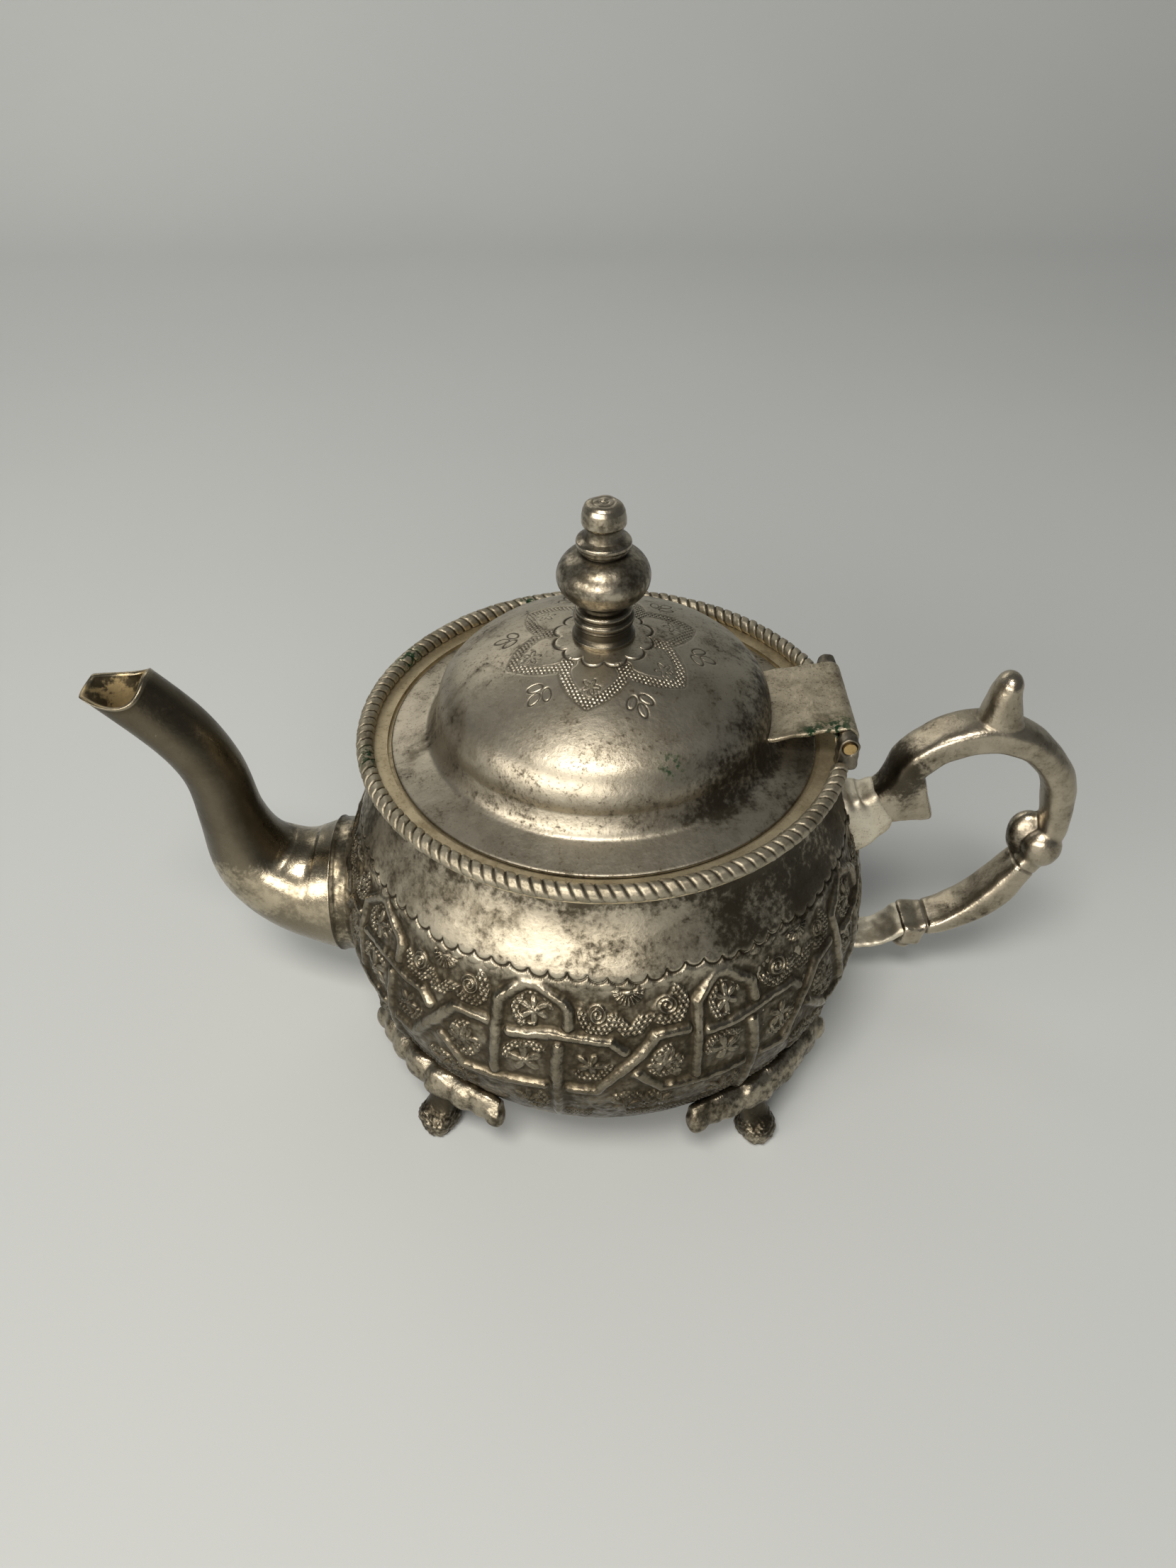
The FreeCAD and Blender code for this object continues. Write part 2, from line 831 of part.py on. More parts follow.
def make_spout_ring(bowl_form):
    """Seam band between the pot wall and the spout's flat end."""
    body = new_body("spout_ring_blank")
    face = -(size["bowl_radius"] + size["spout_root_out"])
    profile = new_sketch(body, "ring_profile", "YZ_Plane", face)
    up = belly_height + size["spout_root_up"]
    add_circle(profile, ZERO, up, ring_width)
    add_circle(profile, ZERO, up, ring_width - size["ring_sheet"] * 2)
    pad(body, profile, size["spout_root_out"] + ring_width / 2, both_ways=False)
    return publish(cut_with("spout_base_ring", body, bowl_form))


# Handle

HANDLE_STATIONS = ("neck", "rise", "bend", "crown", "fall", "side", "heel", "lower", "sweep", "tail")


def handle_place(station):
    """Place of a handle station in the XZ plane."""
    key = "handle_%s_" % station
    return size["bowl_radius"] + size[key + "out"], belly_height + size[key + "up"]


def block_ends():
    """Lower and upper end of the collar block, level with the top of the handle's tail."""
    high = handle_place("tail")[1] + size["handle_tail_thick"] / 2
    return high - size["block_height"], high


def make_handle():
    """Cast scroll with thumb rest, inner spur, knuckle and lower collar block."""
    body = new_body("handle")
    sketches = []
    for station in HANDLE_STATIONS:
        key = "handle_%s_" % station
        out, up = handle_place(station)
        sketch = section_sketch(body, "handle_" + station, out, up, size[key + "heading"])
        bevelled(sketch, size[key + "width"], size[key + "thick"], size["handle_bevel"])
        sketches.append(sketch)
    loft(body, sketches)

    knuckle = body.newObject("PartDesign::AdditiveEllipsoid", "knuckle")
    knuckle.AttachmentSupport = [(origin_item(body, "XZ_Plane"), "")]
    knuckle.MapMode = "FlatFace"
    bind(knuckle, "AttachmentOffset.Base.x", handle_place("heel")[0])
    bind(knuckle, "AttachmentOffset.Base.y", belly_height + size["knuckle_up"])
    bind(knuckle, "Radius1", size["knuckle_width"] / 2)
    bind(knuckle, "Radius2", size["knuckle_radius"])
    bind(knuckle, "Radius3", size["knuckle_radius"])

    crown_out, crown_up = handle_place("crown")
    base = crown_up + size["handle_crown_thick"] / 2 - size["thumb_sink"]
    thumb = new_sketch(body, "thumb_outline")
    tip_left = crown_out + size["thumb_lean"]
    tip = base + size["thumb_rise"]
    outline(
        thumb,
        (crown_out - size["thumb_sink"], base),
        (crown_out - size["thumb_sink"] + size["thumb_root"], base - size["thumb_sink"]),
        (tip_left + size["thumb_tip"], tip),
        (tip_left, tip, size["thumb_curve"], 1),
    )
    pad(body, thumb, size["thumb_width"])

    neck_out, neck_up = handle_place("neck")
    rise_out, rise_up = handle_place("rise")
    spur = new_sketch(body, "spur_outline")
    tip_out = neck_out + size["spur_reach"]
    tip_up = neck_up - size["spur_drop"]
    outline(
        spur,
        (neck_out + size["handle_neck_thick"] / 2, neck_up),
        (tip_out, tip_up),
        (tip_out - size["spur_drop"] / 2, tip_up + size["spur_height"]),
        (rise_out, rise_up),
    )
    pad(body, spur, size["spur_width"])

    tail_out = handle_place("tail")[0]
    block = new_sketch(body, "block_outline")
    low, high = block_ends()
    outline(
        block,
        (tail_out - size["block_length"], low),
        (tail_out, low),
        (tail_out, high),
        (tail_out - size["block_length"], high),
    )
    pad(body, block, size["block_width"])
    return publish(body)


def make_upper_socket(bowl_form):
    """Flared foot between the shoulder and the handle's upper end."""
    body = new_body("upper_socket_blank")
    neck_out, neck_up = handle_place("neck")
    heading = size["handle_neck_heading"]
    depth = size["socket_foot_depth"]
    foot = section_sketch(body, "socket_foot", neck_out - depth * cosine(heading),
                          neck_up - depth * sine(heading), heading)
    bevelled(foot, size["socket_foot_width"], size["socket_foot_thick"], size["socket_edge"])
    neck = section_sketch(body, "socket_neck", neck_out, neck_up, heading)
    bevelled(neck, size["handle_neck_width"], size["handle_neck_thick"], size["handle_bevel"])
    loft(body, [foot, neck])
    return publish(cut_with("handle_upper_socket", body, bowl_form))


def make_lower_socket(bowl_form):
    """Flat tab from the pot to the handle's collar block."""
    body = new_body("lower_socket_blank")
    face = handle_place("tail")[0] - size["block_length"]
    low, high = block_ends()
    top = low + size["tab_thick"]
    flare = size["tab_flare"]
    start = size["bowl_radius"] - size["tab_root"]
    profile = new_sketch(body, "tab_outline")
    rise = high - top - size["block_edge"]
    outline(
        profile,
        (start, low),
        (face, low),
        (face, top + rise),
        (face - flare, top, flare + rise, -1),
        (start, top),
    )
    pad(body, profile, size["tab_width"])
    return publish(cut_with("handle_lower_socket", body, bowl_form))


# Feet

def make_foot(name, turn):
    """Wing strip that hangs from the pot's lower curve, with a leg and a splayed paw."""
    body = new_body(name)
    centre = size["bowl_radius"] - size["bowl_corner"]
    inner = size["bowl_corner"] + size["solder_gap"]
    outer = inner + size["wing_thick"]

    def on_curve(radius, angle):
        return centre + radius * cosine(angle), belly_height - radius * sine(angle)

    wing = new_sketch(body, name + "_wing")
    seat_out, seat_up = on_curve(inner, size["wing_seat_angle"])
    edge_out = size["bowl_radius"] - size["wing_inset"]
    outline(
        wing,
        on_curve(inner, size["wing_top_angle"]),
        (seat_out, seat_up, inner, -1),
        (edge_out - size["wing_thick"], size["wing_low"]),
        (edge_out, size["wing_low"]),
        on_curve(outer, size["wing_top_angle"]),
    )
    revolve(body, wing, size["wing_span"])

    leg = new_sketch(body, name + "_leg")
    paw_inner = size["bowl_radius"] - size["paw_inset"]
    paw_outer = paw_inner + size["paw_length"]
    ankle = paw_inner + size["leg_thick"]
    outline(
        leg,
        (edge_out - size["leg_thick"], seat_up),
        (paw_inner, size["paw_height"] / 2),
        (ankle + size["leg_thick"] / 2, size["paw_height"] / 2),
        (edge_out, seat_up),
    )
    pad(body, leg, size["leg_width"])

    paw = new_sketch(body, name + "_paw")
    outline(
        paw,
        (paw_inner, ZERO),
        (paw_outer, ZERO),
        (paw_outer, size["paw_edge"]),
        (ankle, size["paw_height"]),
        (paw_inner, size["paw_height"]),
    )
    pad(body, paw, size["paw_width"])
    bind(body, "Placement.Rotation.Angle", turn)
    return publish(body)


def make_feet():
    """Four feet, two on each side of the X axis, all turned a little the same way."""
    around, turn = size["foot_angle"], size["foot_turn"]
    make_foot("foot_back_right", turn + around)
    make_foot("foot_back_left", turn + HALF_TURN - around)
    make_foot("foot_front_left", turn + HALF_TURN + around)
    make_foot("foot_front_right", turn + FULL_TURN - around)


# Lid

def lid_way(offset):
    """Upper surface of the lid from the edge of its flange to its crown, moved up by an offset."""
    side = size["dome_side_curve"] + offset
    rise = size["dome_rise"] + offset
    reach = dome_radius + offset
    plan = dome_radius - size["dome_side_curve"]
    crown = crown_curve() + offset
    crown_centre = dome_spring + rise - crown
    share = crown / (crown - side)
    meet_out = plan * share
    meet_up = crown_centre + (dome_spring - crown_centre) * share
    return [
        (size["lid_radius"], lid_edge_top + offset),
        (flange_radius + offset, flange_top + offset),
        (reach, dome_spring, size["dome_flare"] - offset, -1),
        (meet_out, meet_up, side, 1),
        (stud_hole(), crown_centre + leg_of(crown, stud_hole()), crown, 1),
    ]


def crown_curve():
    """Radius of the lid's crown that runs smoothly into its side curve."""
    plan = dome_radius - size["dome_side_curve"]
    rise = size["dome_rise"]
    side = size["dome_side_curve"]
    return (plan * plan + rise * rise - side * side) / ((rise - side) * 2)


def crown_height(radius, offset):
    """Height of the lid's crown at a radius, moved up by an offset."""
    crown = crown_curve() + offset
    return dome_top + offset - crown + leg_of(crown, radius)


def stud_hole():
    """Radius of the hole for the finial's stud."""
    return size["stud_width"] / 2 + size["stud_fit"]


def make_lid():
    """Domed sheet with a sloping flange and a hole for the stud."""
    body = new_body("lid_dome")
    profile = new_sketch(body, "lid_profile")
    upper = lid_way(ZERO)
    inner_top, inner_steps = way_back(lid_way(-size["lid_sheet"]))
    outline(profile, upper[0], *upper[1:], inner_top, *inner_steps)
    revolve(body, profile)
    return publish(body)


def make_lid_form():
    """The lid as a filled form with its solder gap, for fitting other pieces to it."""
    body = new_body("lid_form")
    profile = new_sketch(body, "lid_form_profile")
    way = lid_way(size["solder_gap"])
    outline(profile, (ZERO, lid_under), (size["lid_radius"], lid_under), *way, (ZERO, way[-1][1]))
    revolve(body, profile)
    return body


def make_bezel():
    """Short ring under the flange that drops into the neck."""
    body = new_body("lid_bezel")
    profile = new_sketch(body, "bezel_profile")
    outer = mouth_radius - size["bezel_clearance"]
    inner = outer - size["bezel_sheet"]
    slope = size["flange_rise"] / (size["lid_radius"] - flange_radius + size["lid_sheet"])
    outer_top = lid_under + (size["lid_radius"] - outer) * slope - size["solder_gap"]
    inner_top = lid_under + (size["lid_radius"] - inner) * slope - size["solder_gap"]
    low = lid_under - size["bezel_depth"]
    outline(profile, (inner, low), (outer, low), (outer, outer_top), (inner, inner_top))
    revolve(body, profile)
    return publish(body)


def make_finial():
    """Turned knob: ringed foot, ball, disc and rounded cap, with a blind hole for the stud."""
    body = new_body("finial_knob")
    profile = new_sketch(body, "finial_profile")
    gap = size["solder_gap"]
    seat = crown_height(size["finial_foot_radius"], gap)
    hole_seat = crown_height(stud_hole(), gap)
    hole_top = dome_top + size["stud_grip"] + size["stud_fit"]
    foot_top = dome_top + size["finial_foot_height"]
    ring_top = foot_top + size["finial_ring_height"]
    neck_top = ring_top + size["finial_neck_height"]
    ball_top = neck_top + size["finial_ball_height"]
    disc_top = ball_top + size["finial_disc_height"]
    throat_top = disc_top + size["finial_throat_height"]
    cap_top = throat_top + size["finial_cap_height"]
    ball = size["finial_ball_radius"]
    ball_mid = neck_top + size["finial_ball_height"] / 2
    cap = size["finial_cap_radius"]
    ring_lip = size["finial_ring_height"] / 2
    outline(
        profile,
        (stud_hole(), hole_seat),
        (size["finial_foot_radius"], seat, crown_curve() + gap, -1),
        (size["finial_foot_radius"], foot_top),
        (size["finial_ring_radius"], foot_top + ring_lip / 2),
        (size["finial_foot_radius"], ring_top - ring_lip / 2),
        (size["finial_foot_radius"], ring_top),
        (size["finial_neck_radius"], neck_top, size["finial_neck_curve"], -1),
        (ball, ball_mid, size["finial_ball_curve"], 1),
        (size["finial_waist_radius"], ball_top, size["finial_ball_curve"], 1),
        (size["finial_disc_radius"], ball_top + size["finial_disc_height"] / 3),
        (size["finial_disc_radius"], disc_top - size["finial_disc_height"] / 4),
        (size["finial_throat_radius"], disc_top),
        (size["finial_throat_radius"], throat_top),
        (cap, throat_top + size["finial_cap_height"] / 2, size["finial_cap_curve"], 1),
        (size["finial_cap_flat"], cap_top, size["finial_cap_curve"], 1),
        (ZERO, cap_top),
        (ZERO, hole_top),
        (stud_hole(), hole_top),
    )
    revolve(body, profile)
    return publish(body)


def turned_piece(name, start, *steps):
    """A plain turned piece."""
    body = new_body(name)
    profile = new_sketch(body, name + "_profile")
    outline(profile, start, *steps)
    revolve(body, profile)
    return publish(body)


def make_fixing():
    """Stud, washer and nut that hold the finial through the lid."""
    stud = size["stud_width"] / 2
    washer_top = crown_height(size["washer_radius"], -size["lid_sheet"]) - size["solder_gap"]
    washer_low = washer_top - size["washer_thick"]
    nut_low = washer_low - size["nut_thick"]
    grip_top = dome_top + size["stud_grip"]
    tail = washer_top - size["stud_tail"]
    turned_piece("finial_stud", (ZERO, tail), (stud, tail), (stud, grip_top), (ZERO, grip_top))
    turned_piece(
        "finial_washer",
        (stud_hole(), washer_low),
        (size["washer_radius"], washer_low),
        (size["washer_radius"], washer_top),
        (stud_hole(), washer_top),
    )
    nut = new_body("finial_nut")
    plan = new_sketch(nut, "nut_plan", "XY_Plane", nut_low)
    corner = size["nut_across"] / 2 / cosine(HALF_TURN / NUT_SIDES)
    spots = [(corner * cosine(angle), corner * sine(angle)) for angle in even_angles(NUT_SIDES)]
    outline(plan, spots[0], *spots[1:])
    add_circle(plan, ZERO, ZERO, stud_hole() * 2)
    pad(nut, plan, size["nut_thick"], both_ways=False)
    publish(nut)


# Hinge

def make_leaf(lid_form):
    """Plate from the dome to the pin, with its end curled round the pin."""
    body = new_body("leaf_blank")
    barrel = size["leaf_barrel"]
    top = hinge_height + barrel / 2
    plate = new_sketch(body, "leaf_plate")
    outline(
        plate,
        (leaf_root_out, top - size["leaf_drop"] - size["leaf_sheet"]),
        (hinge_out, top - size["leaf_sheet"]),
        (hinge_out, top),
        (leaf_root_out, top - size["leaf_drop"]),
    )
    pad(body, plate, size["leaf_width"])
    curl = new_sketch(body, "leaf_curl")
    add_circle(curl, hinge_out, hinge_height, barrel)
    pad(body, curl, size["leaf_width"])
    doc.recompute()
    bore = new_sketch(body, "leaf_bore")
    add_circle(bore, hinge_out, hinge_height, size["pin_width"] + size["pin_clearance"] * 2)
    hole = body.newObject("PartDesign::Pocket", "leaf_hole")
    hole.Profile = bore
    hole.Midplane = True
    bind(hole, "Length", size["leaf_width"] * 2)
    return publish(cut_with("hinge_leaf", body, lid_form))


def make_eye(name, start):
    """Fixed eye on the ledge, with the pin's hole through it."""
    body = new_body(name)
    shape = new_sketch(body, name + "_outline", "XZ_Plane", start)
    radius = size["eye_barrel"] / 2
    left = hinge_out - size["eye_root_in"]
    right = hinge_out + size["eye_root_out"]
    outline(
        shape,
        (left, ledge_height),
        (right, ledge_height),
        (right, ledge_height + size["rope_thick"] / 2),
        (hinge_out + radius, hinge_height),
        (hinge_out, hinge_height + radius, radius, 1),
        (hinge_out - radius, hinge_height, radius, 1),
        (left, ledge_height + size["rope_thick"] / 2),
    )
    add_circle(shape, hinge_out, hinge_height, size["pin_width"] + size["pin_clearance"] * 2)
    pad(body, shape, size["eye_width"], both_ways=False)
    return publish(body)


def make_pin():
    """Brass pin through both eyes and the curled leaf."""
    body = new_body("hinge_pin")
    section = new_sketch(body, "pin_section")
    add_circle(section, hinge_out, hinge_height, size["pin_width"])
    pad(body, section, (eye_end + size["pin_overhang"]) * 2)
    return publish(body)


def make_hinge(lid_form):
    """Leaf on the lid, two eyes on the rim and the pin."""
    make_leaf(lid_form)
    make_eye("hinge_knuckle_front", eye_start)
    make_eye("hinge_knuckle_back", -eye_end)
    make_pin()


def make_teapot():
    """All pieces, pot first and then the lid."""
    make_base()
    make_bowl()
    bowl_form = make_bowl_form()
    make_collar()
    make_rope()
    make_spout()
    make_spout_ring(bowl_form)
    make_handle()
    make_upper_socket(bowl_form)
    make_lower_socket(bowl_form)
    make_feet()
    make_lid()
    lid_form = make_lid_form()
    make_bezel()
    make_finial()
    make_fixing()
    make_hinge(lid_form)
    doc.recompute()


def check_document():
    """Stop at a failed object or an empty, broken or many-lump piece."""
    for item in doc.Objects:
        if "Invalid" in item.State or "Error" in item.State:
            raise RuntimeError("%s failed: %s" % (item.Label, item.State))
    for item in published:
        shape = item.Shape
        if shape.isNull() or not shape.isValid() or len(shape.Solids) != 1:
            raise RuntimeError("%s has no single sound solid" % item.Label)


def write_pieces():
    """One file for each piece, named by its label."""
    os.makedirs("parts", exist_ok=True)
    for item in published:
        item.Shape.exportStep("parts/%s.step" % item.Label)
        box = item.Shape.BoundBox
        print("%-22s %9.1f mm3  x %.1f %.1f  y %.1f %.1f  z %.1f %.1f" % (
            item.Label, item.Shape.Volume, box.XMin, box.XMax, box.YMin, box.YMax, box.ZMin, box.ZMax))


make_teapot()
check_document()
write_pieces()
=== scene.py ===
import math
from contextlib import contextmanager
from functools import cached_property

import bmesh
import bpy
import numpy as np
from mathutils import Matrix, Vector


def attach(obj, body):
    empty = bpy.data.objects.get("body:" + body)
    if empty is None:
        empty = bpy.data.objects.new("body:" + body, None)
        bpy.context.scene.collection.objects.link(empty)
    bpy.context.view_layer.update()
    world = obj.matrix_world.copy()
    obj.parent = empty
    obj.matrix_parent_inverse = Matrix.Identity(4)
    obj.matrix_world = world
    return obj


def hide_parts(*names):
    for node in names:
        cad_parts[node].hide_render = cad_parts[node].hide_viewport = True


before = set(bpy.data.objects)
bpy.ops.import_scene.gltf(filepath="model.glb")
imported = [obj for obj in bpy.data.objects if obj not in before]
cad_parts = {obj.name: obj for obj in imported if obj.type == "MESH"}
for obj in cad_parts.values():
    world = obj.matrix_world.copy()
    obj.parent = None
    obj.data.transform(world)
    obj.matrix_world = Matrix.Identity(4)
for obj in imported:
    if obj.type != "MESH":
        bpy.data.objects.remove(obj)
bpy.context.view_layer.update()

# Looks of the silver teapot. Shapes are written in millimetres and scaled once.
MM = 0.001
scene = bpy.context.scene
scene.view_settings.view_transform = "Standard"


# Mesh helpers

def link(item):
    """Put an object in the scene."""
    scene.collection.objects.link(item)
    return item


def add_mesh(name, points, faces, **values):
    """Smooth mesh object from points in millimetres, corner numbers and point values."""
    mesh = bpy.data.meshes.new(name)
    points = np.asarray(points, np.float64).reshape(-1, 3) * MM
    faces = np.asarray(faces, np.int32)
    mesh.vertices.add(len(points))
    mesh.vertices.foreach_set("co", points.ravel())
    mesh.loops.add(faces.size)
    mesh.loops.foreach_set("vertex_index", faces.ravel())
    mesh.polygons.add(len(faces))
    mesh.polygons.foreach_set("loop_start", np.arange(0, faces.size, faces.shape[1], dtype=np.int32))
    mesh.shade_smooth()
    mesh.update(calc_edges=True)
    item = link(bpy.data.objects.new(name, mesh))
    for key, value in values.items():
        set_value(item, key, value)
    return item


def grid_faces(rows, cols, wrap_rows=False, wrap_cols=False):
    """Quads of a grid of points, row by row."""
    row = np.arange(rows if wrap_rows else rows - 1)
    col = np.arange(cols if wrap_cols else cols - 1)
    row, col = np.meshgrid(row, col, indexing="ij")
    next_row, next_col = (row + 1) % rows, (col + 1) % cols
    corners = (row * cols + col, row * cols + next_col, next_row * cols + next_col, next_row * cols + col)
    return np.stack(corners, -1).reshape(-1, 4)


def join(name, *pieces):
    """One object out of several."""
    with bpy.context.temp_override(active_object=pieces[0], selected_editable_objects=list(pieces)):
        bpy.ops.object.join()
    pieces[0].name = name
    return pieces[0]


def apply_modifiers(item):
    """Replace the mesh by what its modifiers make."""
    shaped = item.evaluated_get(bpy.context.evaluated_depsgraph_get())
    mesh = bpy.data.meshes.new_from_object(shaped)
    item.modifiers.clear()
    item.data = mesh
    return item


@contextmanager
def edit_mesh(item):
    """Open a mesh for work on its points and faces, and write it back."""
    work = bmesh.new()
    work.from_mesh(item.data)
    work.verts.ensure_lookup_table()
    yield work
    work.to_mesh(item.data)
    work.free()


def drop_points(item, chosen):
    """Delete the chosen points with their faces."""
    with edit_mesh(item) as work:
        bmesh.ops.delete(work, geom=[work.verts[k] for k in np.flatnonzero(chosen)], context="VERTS")


def close_ends(item):
    """Fill the open ends of a tube."""
    with edit_mesh(item) as work:
        bmesh.ops.holes_fill(work, edges=[edge for edge in work.edges if edge.is_boundary], sides=0)
    return item


def read(group, key, width=3, kind=np.float32):
    """Values of a mesh's points or edges, one row each."""
    flat = np.empty(len(group) * width, kind)
    group.foreach_get(key, flat)
    return flat.reshape(-1, width)


def points_of(item):
    """Mesh points in millimetres."""
    return read(item.data.vertices, "co", kind=np.float64) / MM


def normals_of(item):
    """Point normals."""
    return read(item.data.vertex_normals, "vector").astype(float)


def set_points(item, points):
    """Move the mesh points, given in millimetres."""
    item.data.vertices.foreach_set("co", (points * MM).ravel())
    item.data.update()


def push(item, shift):
    """Move points along their normals, each by its own distance."""
    set_points(item, points_of(item) + normals_of(item) * shift[:, None])


def set_value(item, name, value):
    """Store one number for each point."""
    layer = item.data.attributes.get(name) or item.data.attributes.new(name, "FLOAT", "POINT")
    layer.data.foreach_set("value", np.asarray(value, np.float32).ravel())


def neighbour_mean(item, field, rounds):
    """Average a point field over its neighbours a number of times."""
    edges = read(item.data.edges, "vertices", 2, np.int32)
    start, end = np.concatenate([edges, edges[:, ::-1]]).T
    count = np.maximum(np.bincount(start, minlength=len(field)), 1)
    for _ in range(rounds):
        sums = [np.bincount(start, field[end, k], len(field)) for k in range(field.shape[1])]
        field = np.stack(sums, 1) / count[:, None]
    return field


def mark_hollows(item, rounds=8, depth=0.35):
    """Store how far each point lies in a hollow (above half) or on a crest (below half)."""
    points = points_of(item)
    mean = neighbour_mean(item, points, rounds)
    lift = np.einsum("ij,ij->i", mean - points, normals_of(item))
    set_value(item, "hollow", np.clip(0.5 + 0.5 * lift / depth, 0, 1))
    return item


def set_soil(item, base, *spots):
    """Store how much each point is darkened by soil and by painted shade: a base share and places with
    their reach and depth, where a negative depth makes a place lighter.
    """
    points = points_of(item)
    soil = np.full(len(points), base)
    for spot, reach, depth in spots:
        soil += depth * ramp(reach, reach * 0.3, np.linalg.norm(points - spot, axis=1))
    set_value(item, "soil", soil)
    return item


def wave_sum(seed, *axes, count=7, low=1, high=6):
    """Smooth seeded unevenness of about unit size; the first axis is an angle in radians."""
    dice = np.random.default_rng(seed)
    total = 0
    for _ in range(count):
        phase = dice.uniform(0, 2 * math.pi)
        term = axes[0] * dice.integers(low, high + 1) + phase
        for axis in axes[1:]:
            term = term + axis * dice.uniform(-high, high) / 60
        total = total + np.sin(term) * dice.uniform(0.4, 1)
    return total / math.sqrt(count * 0.27)


def ramp(low, high, value):
    """Zero below low, one above high, smooth between."""
    share = np.clip((value - low) / (high - low), 0, 1)
    return share * share * (3 - 2 * share)


def peak(distance, width):
    """Bell curve of unit height."""
    return np.exp(-(distance / width) ** 2)


def blur_grid(grid, rows, cols):
    """Gaussian blur of a grid whose columns wrap round, by widths in cells."""
    pad = int(rows * 4) + 1
    padded = np.concatenate([grid[pad:0:-1], grid, grid[-2:-pad - 2:-1]])
    spectrum = np.fft.rfft2(padded)
    down = np.fft.fftfreq(padded.shape[0])[:, None]
    across = np.fft.rfftfreq(padded.shape[1])[None]
    spectrum *= np.exp(-2 * math.pi ** 2 * ((down * rows) ** 2 + (across * cols) ** 2))
    return np.fft.irfft2(spectrum, padded.shape)[pad:pad + grid.shape[0]]


def ring_steps(count):
    """Even angles once round, in radians."""
    return np.arange(count) * 2 * math.pi / count


def run_of(path):
    """Distance of each point of a line from its start."""
    return np.concatenate([[0], np.cumsum(np.hypot(*np.diff(path[:, :2], axis=0).T))])


def turned(degrees, axis="Z"):
    """Rotation about an axis through the origin."""
    return Matrix.Rotation(math.radians(degrees), 4, axis)


def round_axis(out, turn, up):
    """Points from radius, angle and height."""
    return np.stack([out * np.cos(turn), out * np.sin(turn), up], -1)


def arc_points(centre, radius, start, end, count):
    """Points of an arc in the profile plane, angles in degrees from outward to up."""
    angle = np.radians(np.linspace(start, end, count))
    return np.stack([centre[0] + radius * np.cos(angle), centre[1] + radius * np.sin(angle)], 1)


def along(path, count=None, step=None, spots=None):
    """Even points along a profile, by count, by step or at given distances."""
    path = np.asarray(path, float)
    run = run_of(path)
    if spots is None:
        spots = np.linspace(0, run[-1], count or int(run[-1] / step) + 2)
    return np.stack([np.interp(spots, run, path[:, k]) for k in range(path.shape[1])], 1)


def profile_normals(path):
    """Unit normals of a profile that is walked upwards, pointing outwards."""
    way = np.gradient(path, axis=0)
    way /= np.maximum(np.hypot(*way.T), 1e-9)[:, None]
    return np.stack([way[:, 1], -way[:, 0]], 1)


def lathe(name, path, cols, height=None, wrap=False, **values):
    """Turned surface from a profile, with an optional height along its normal for each point."""
    path = np.asarray(path, float)
    out = np.repeat(path[:, None, :], cols, 1)
    if height is not None:
        out = out + profile_normals(path)[:, None, :] * height[:, :, None]
    points = round_axis(out[..., 0], ring_steps(cols), out[..., 1])
    return add_mesh(name, points, grid_faces(len(path), cols, wrap, True), **values)


# Materials

class Nodes:
    """Short ways to build the node tree of a material or of the surroundings."""

    def __init__(self, owner):
        self.owner = owner
        owner.use_nodes = True
        self.tree = owner.node_tree

    @cached_property
    def place(self):
        """The object's own coordinates."""
        return self.add("TexCoord").outputs["Object"]

    def put(self, socket, value):
        """Link a socket or set its number."""
        if isinstance(value, bpy.types.NodeSocket):
            self.tree.links.new(value, socket)
        else:
            socket.default_value = value

    def add(self, kind, *numbered, **named):
        """New node with its inputs, given in order or by name."""
        node = self.tree.nodes.new("ShaderNode" + kind)
        for key, value in (*enumerate(numbered), *named.items()):
            self.put(node.inputs[key], value)
        return node

    def noise(self, scale, detail=4, rough=0.55, warp=0):
        """Noise over the object's own coordinates, with the scale in cells per metre."""
        node = self.add("TexNoise", Vector=self.place, Scale=scale, Detail=detail, Roughness=rough,
                        Distortion=warp)
        return node.outputs["Fac"]

    def value(self, name):
        """A number stored on the mesh points."""
        node = self.add("Attribute")
        node.attribute_name = name
        return node.outputs["Fac"]

    def math(self, kind, *values, clamp=False):
        """One arithmetic step."""
        node = self.add("Math", *values)
        node.operation = kind
        node.use_clamp = clamp
        return node.outputs[0]

    def times(self, first, second):
        """Product of two values."""
        return self.math("MULTIPLY", first, second)

    def total(self, value, weight, base, clamp=False):
        """A weighted value on top of another one."""
        return self.math("MULTIPLY_ADD", value, weight, base, clamp=clamp)

    def span(self, value, low, high, start=0, end=1):
        """A value's range mapped smoothly to another one."""
        node = self.add("MapRange", value, low, high, start, end)
        node.interpolation_type = "SMOOTHSTEP"
        return node.outputs["Result"]

    def mix(self, share, first, second):
        """Blend of two colours."""
        node = self.add("Mix", share)
        node.data_type = "RGBA"
        sockets = [socket for socket in node.inputs if socket.type == "RGBA"]
        for socket, colour in zip(sockets, (first, second)):
            self.put(socket, colour if isinstance(colour, bpy.types.NodeSocket) else (*colour, 1))
        return [socket for socket in node.outputs if socket.type == "RGBA"][0]

    def near(self, spot, reach):
        """One at a place in millimetres, zero beyond its reach."""
        node = self.add("VectorMath", self.place, [part * MM for part in spot])
        node.operation = "DISTANCE"
        return self.span(node.outputs["Value"], reach * MM, 0)

    def bump(self, height, strength, distance, **normal):
        """Fine unevenness for the shader's normal."""
        node = self.add("Bump", Height=height, Strength=strength, Distance=distance, **normal)
        return node.outputs["Normal"]

    def finish(self, *values):
        """Join colour, roughness, metal share and normal to the shader."""
        shader = self.tree.nodes["Principled BSDF"]
        for name, value in zip(("Base Color", "Roughness", "Metallic", "Normal"), values):
            self.put(shader.inputs[name], value)
        return self.owner


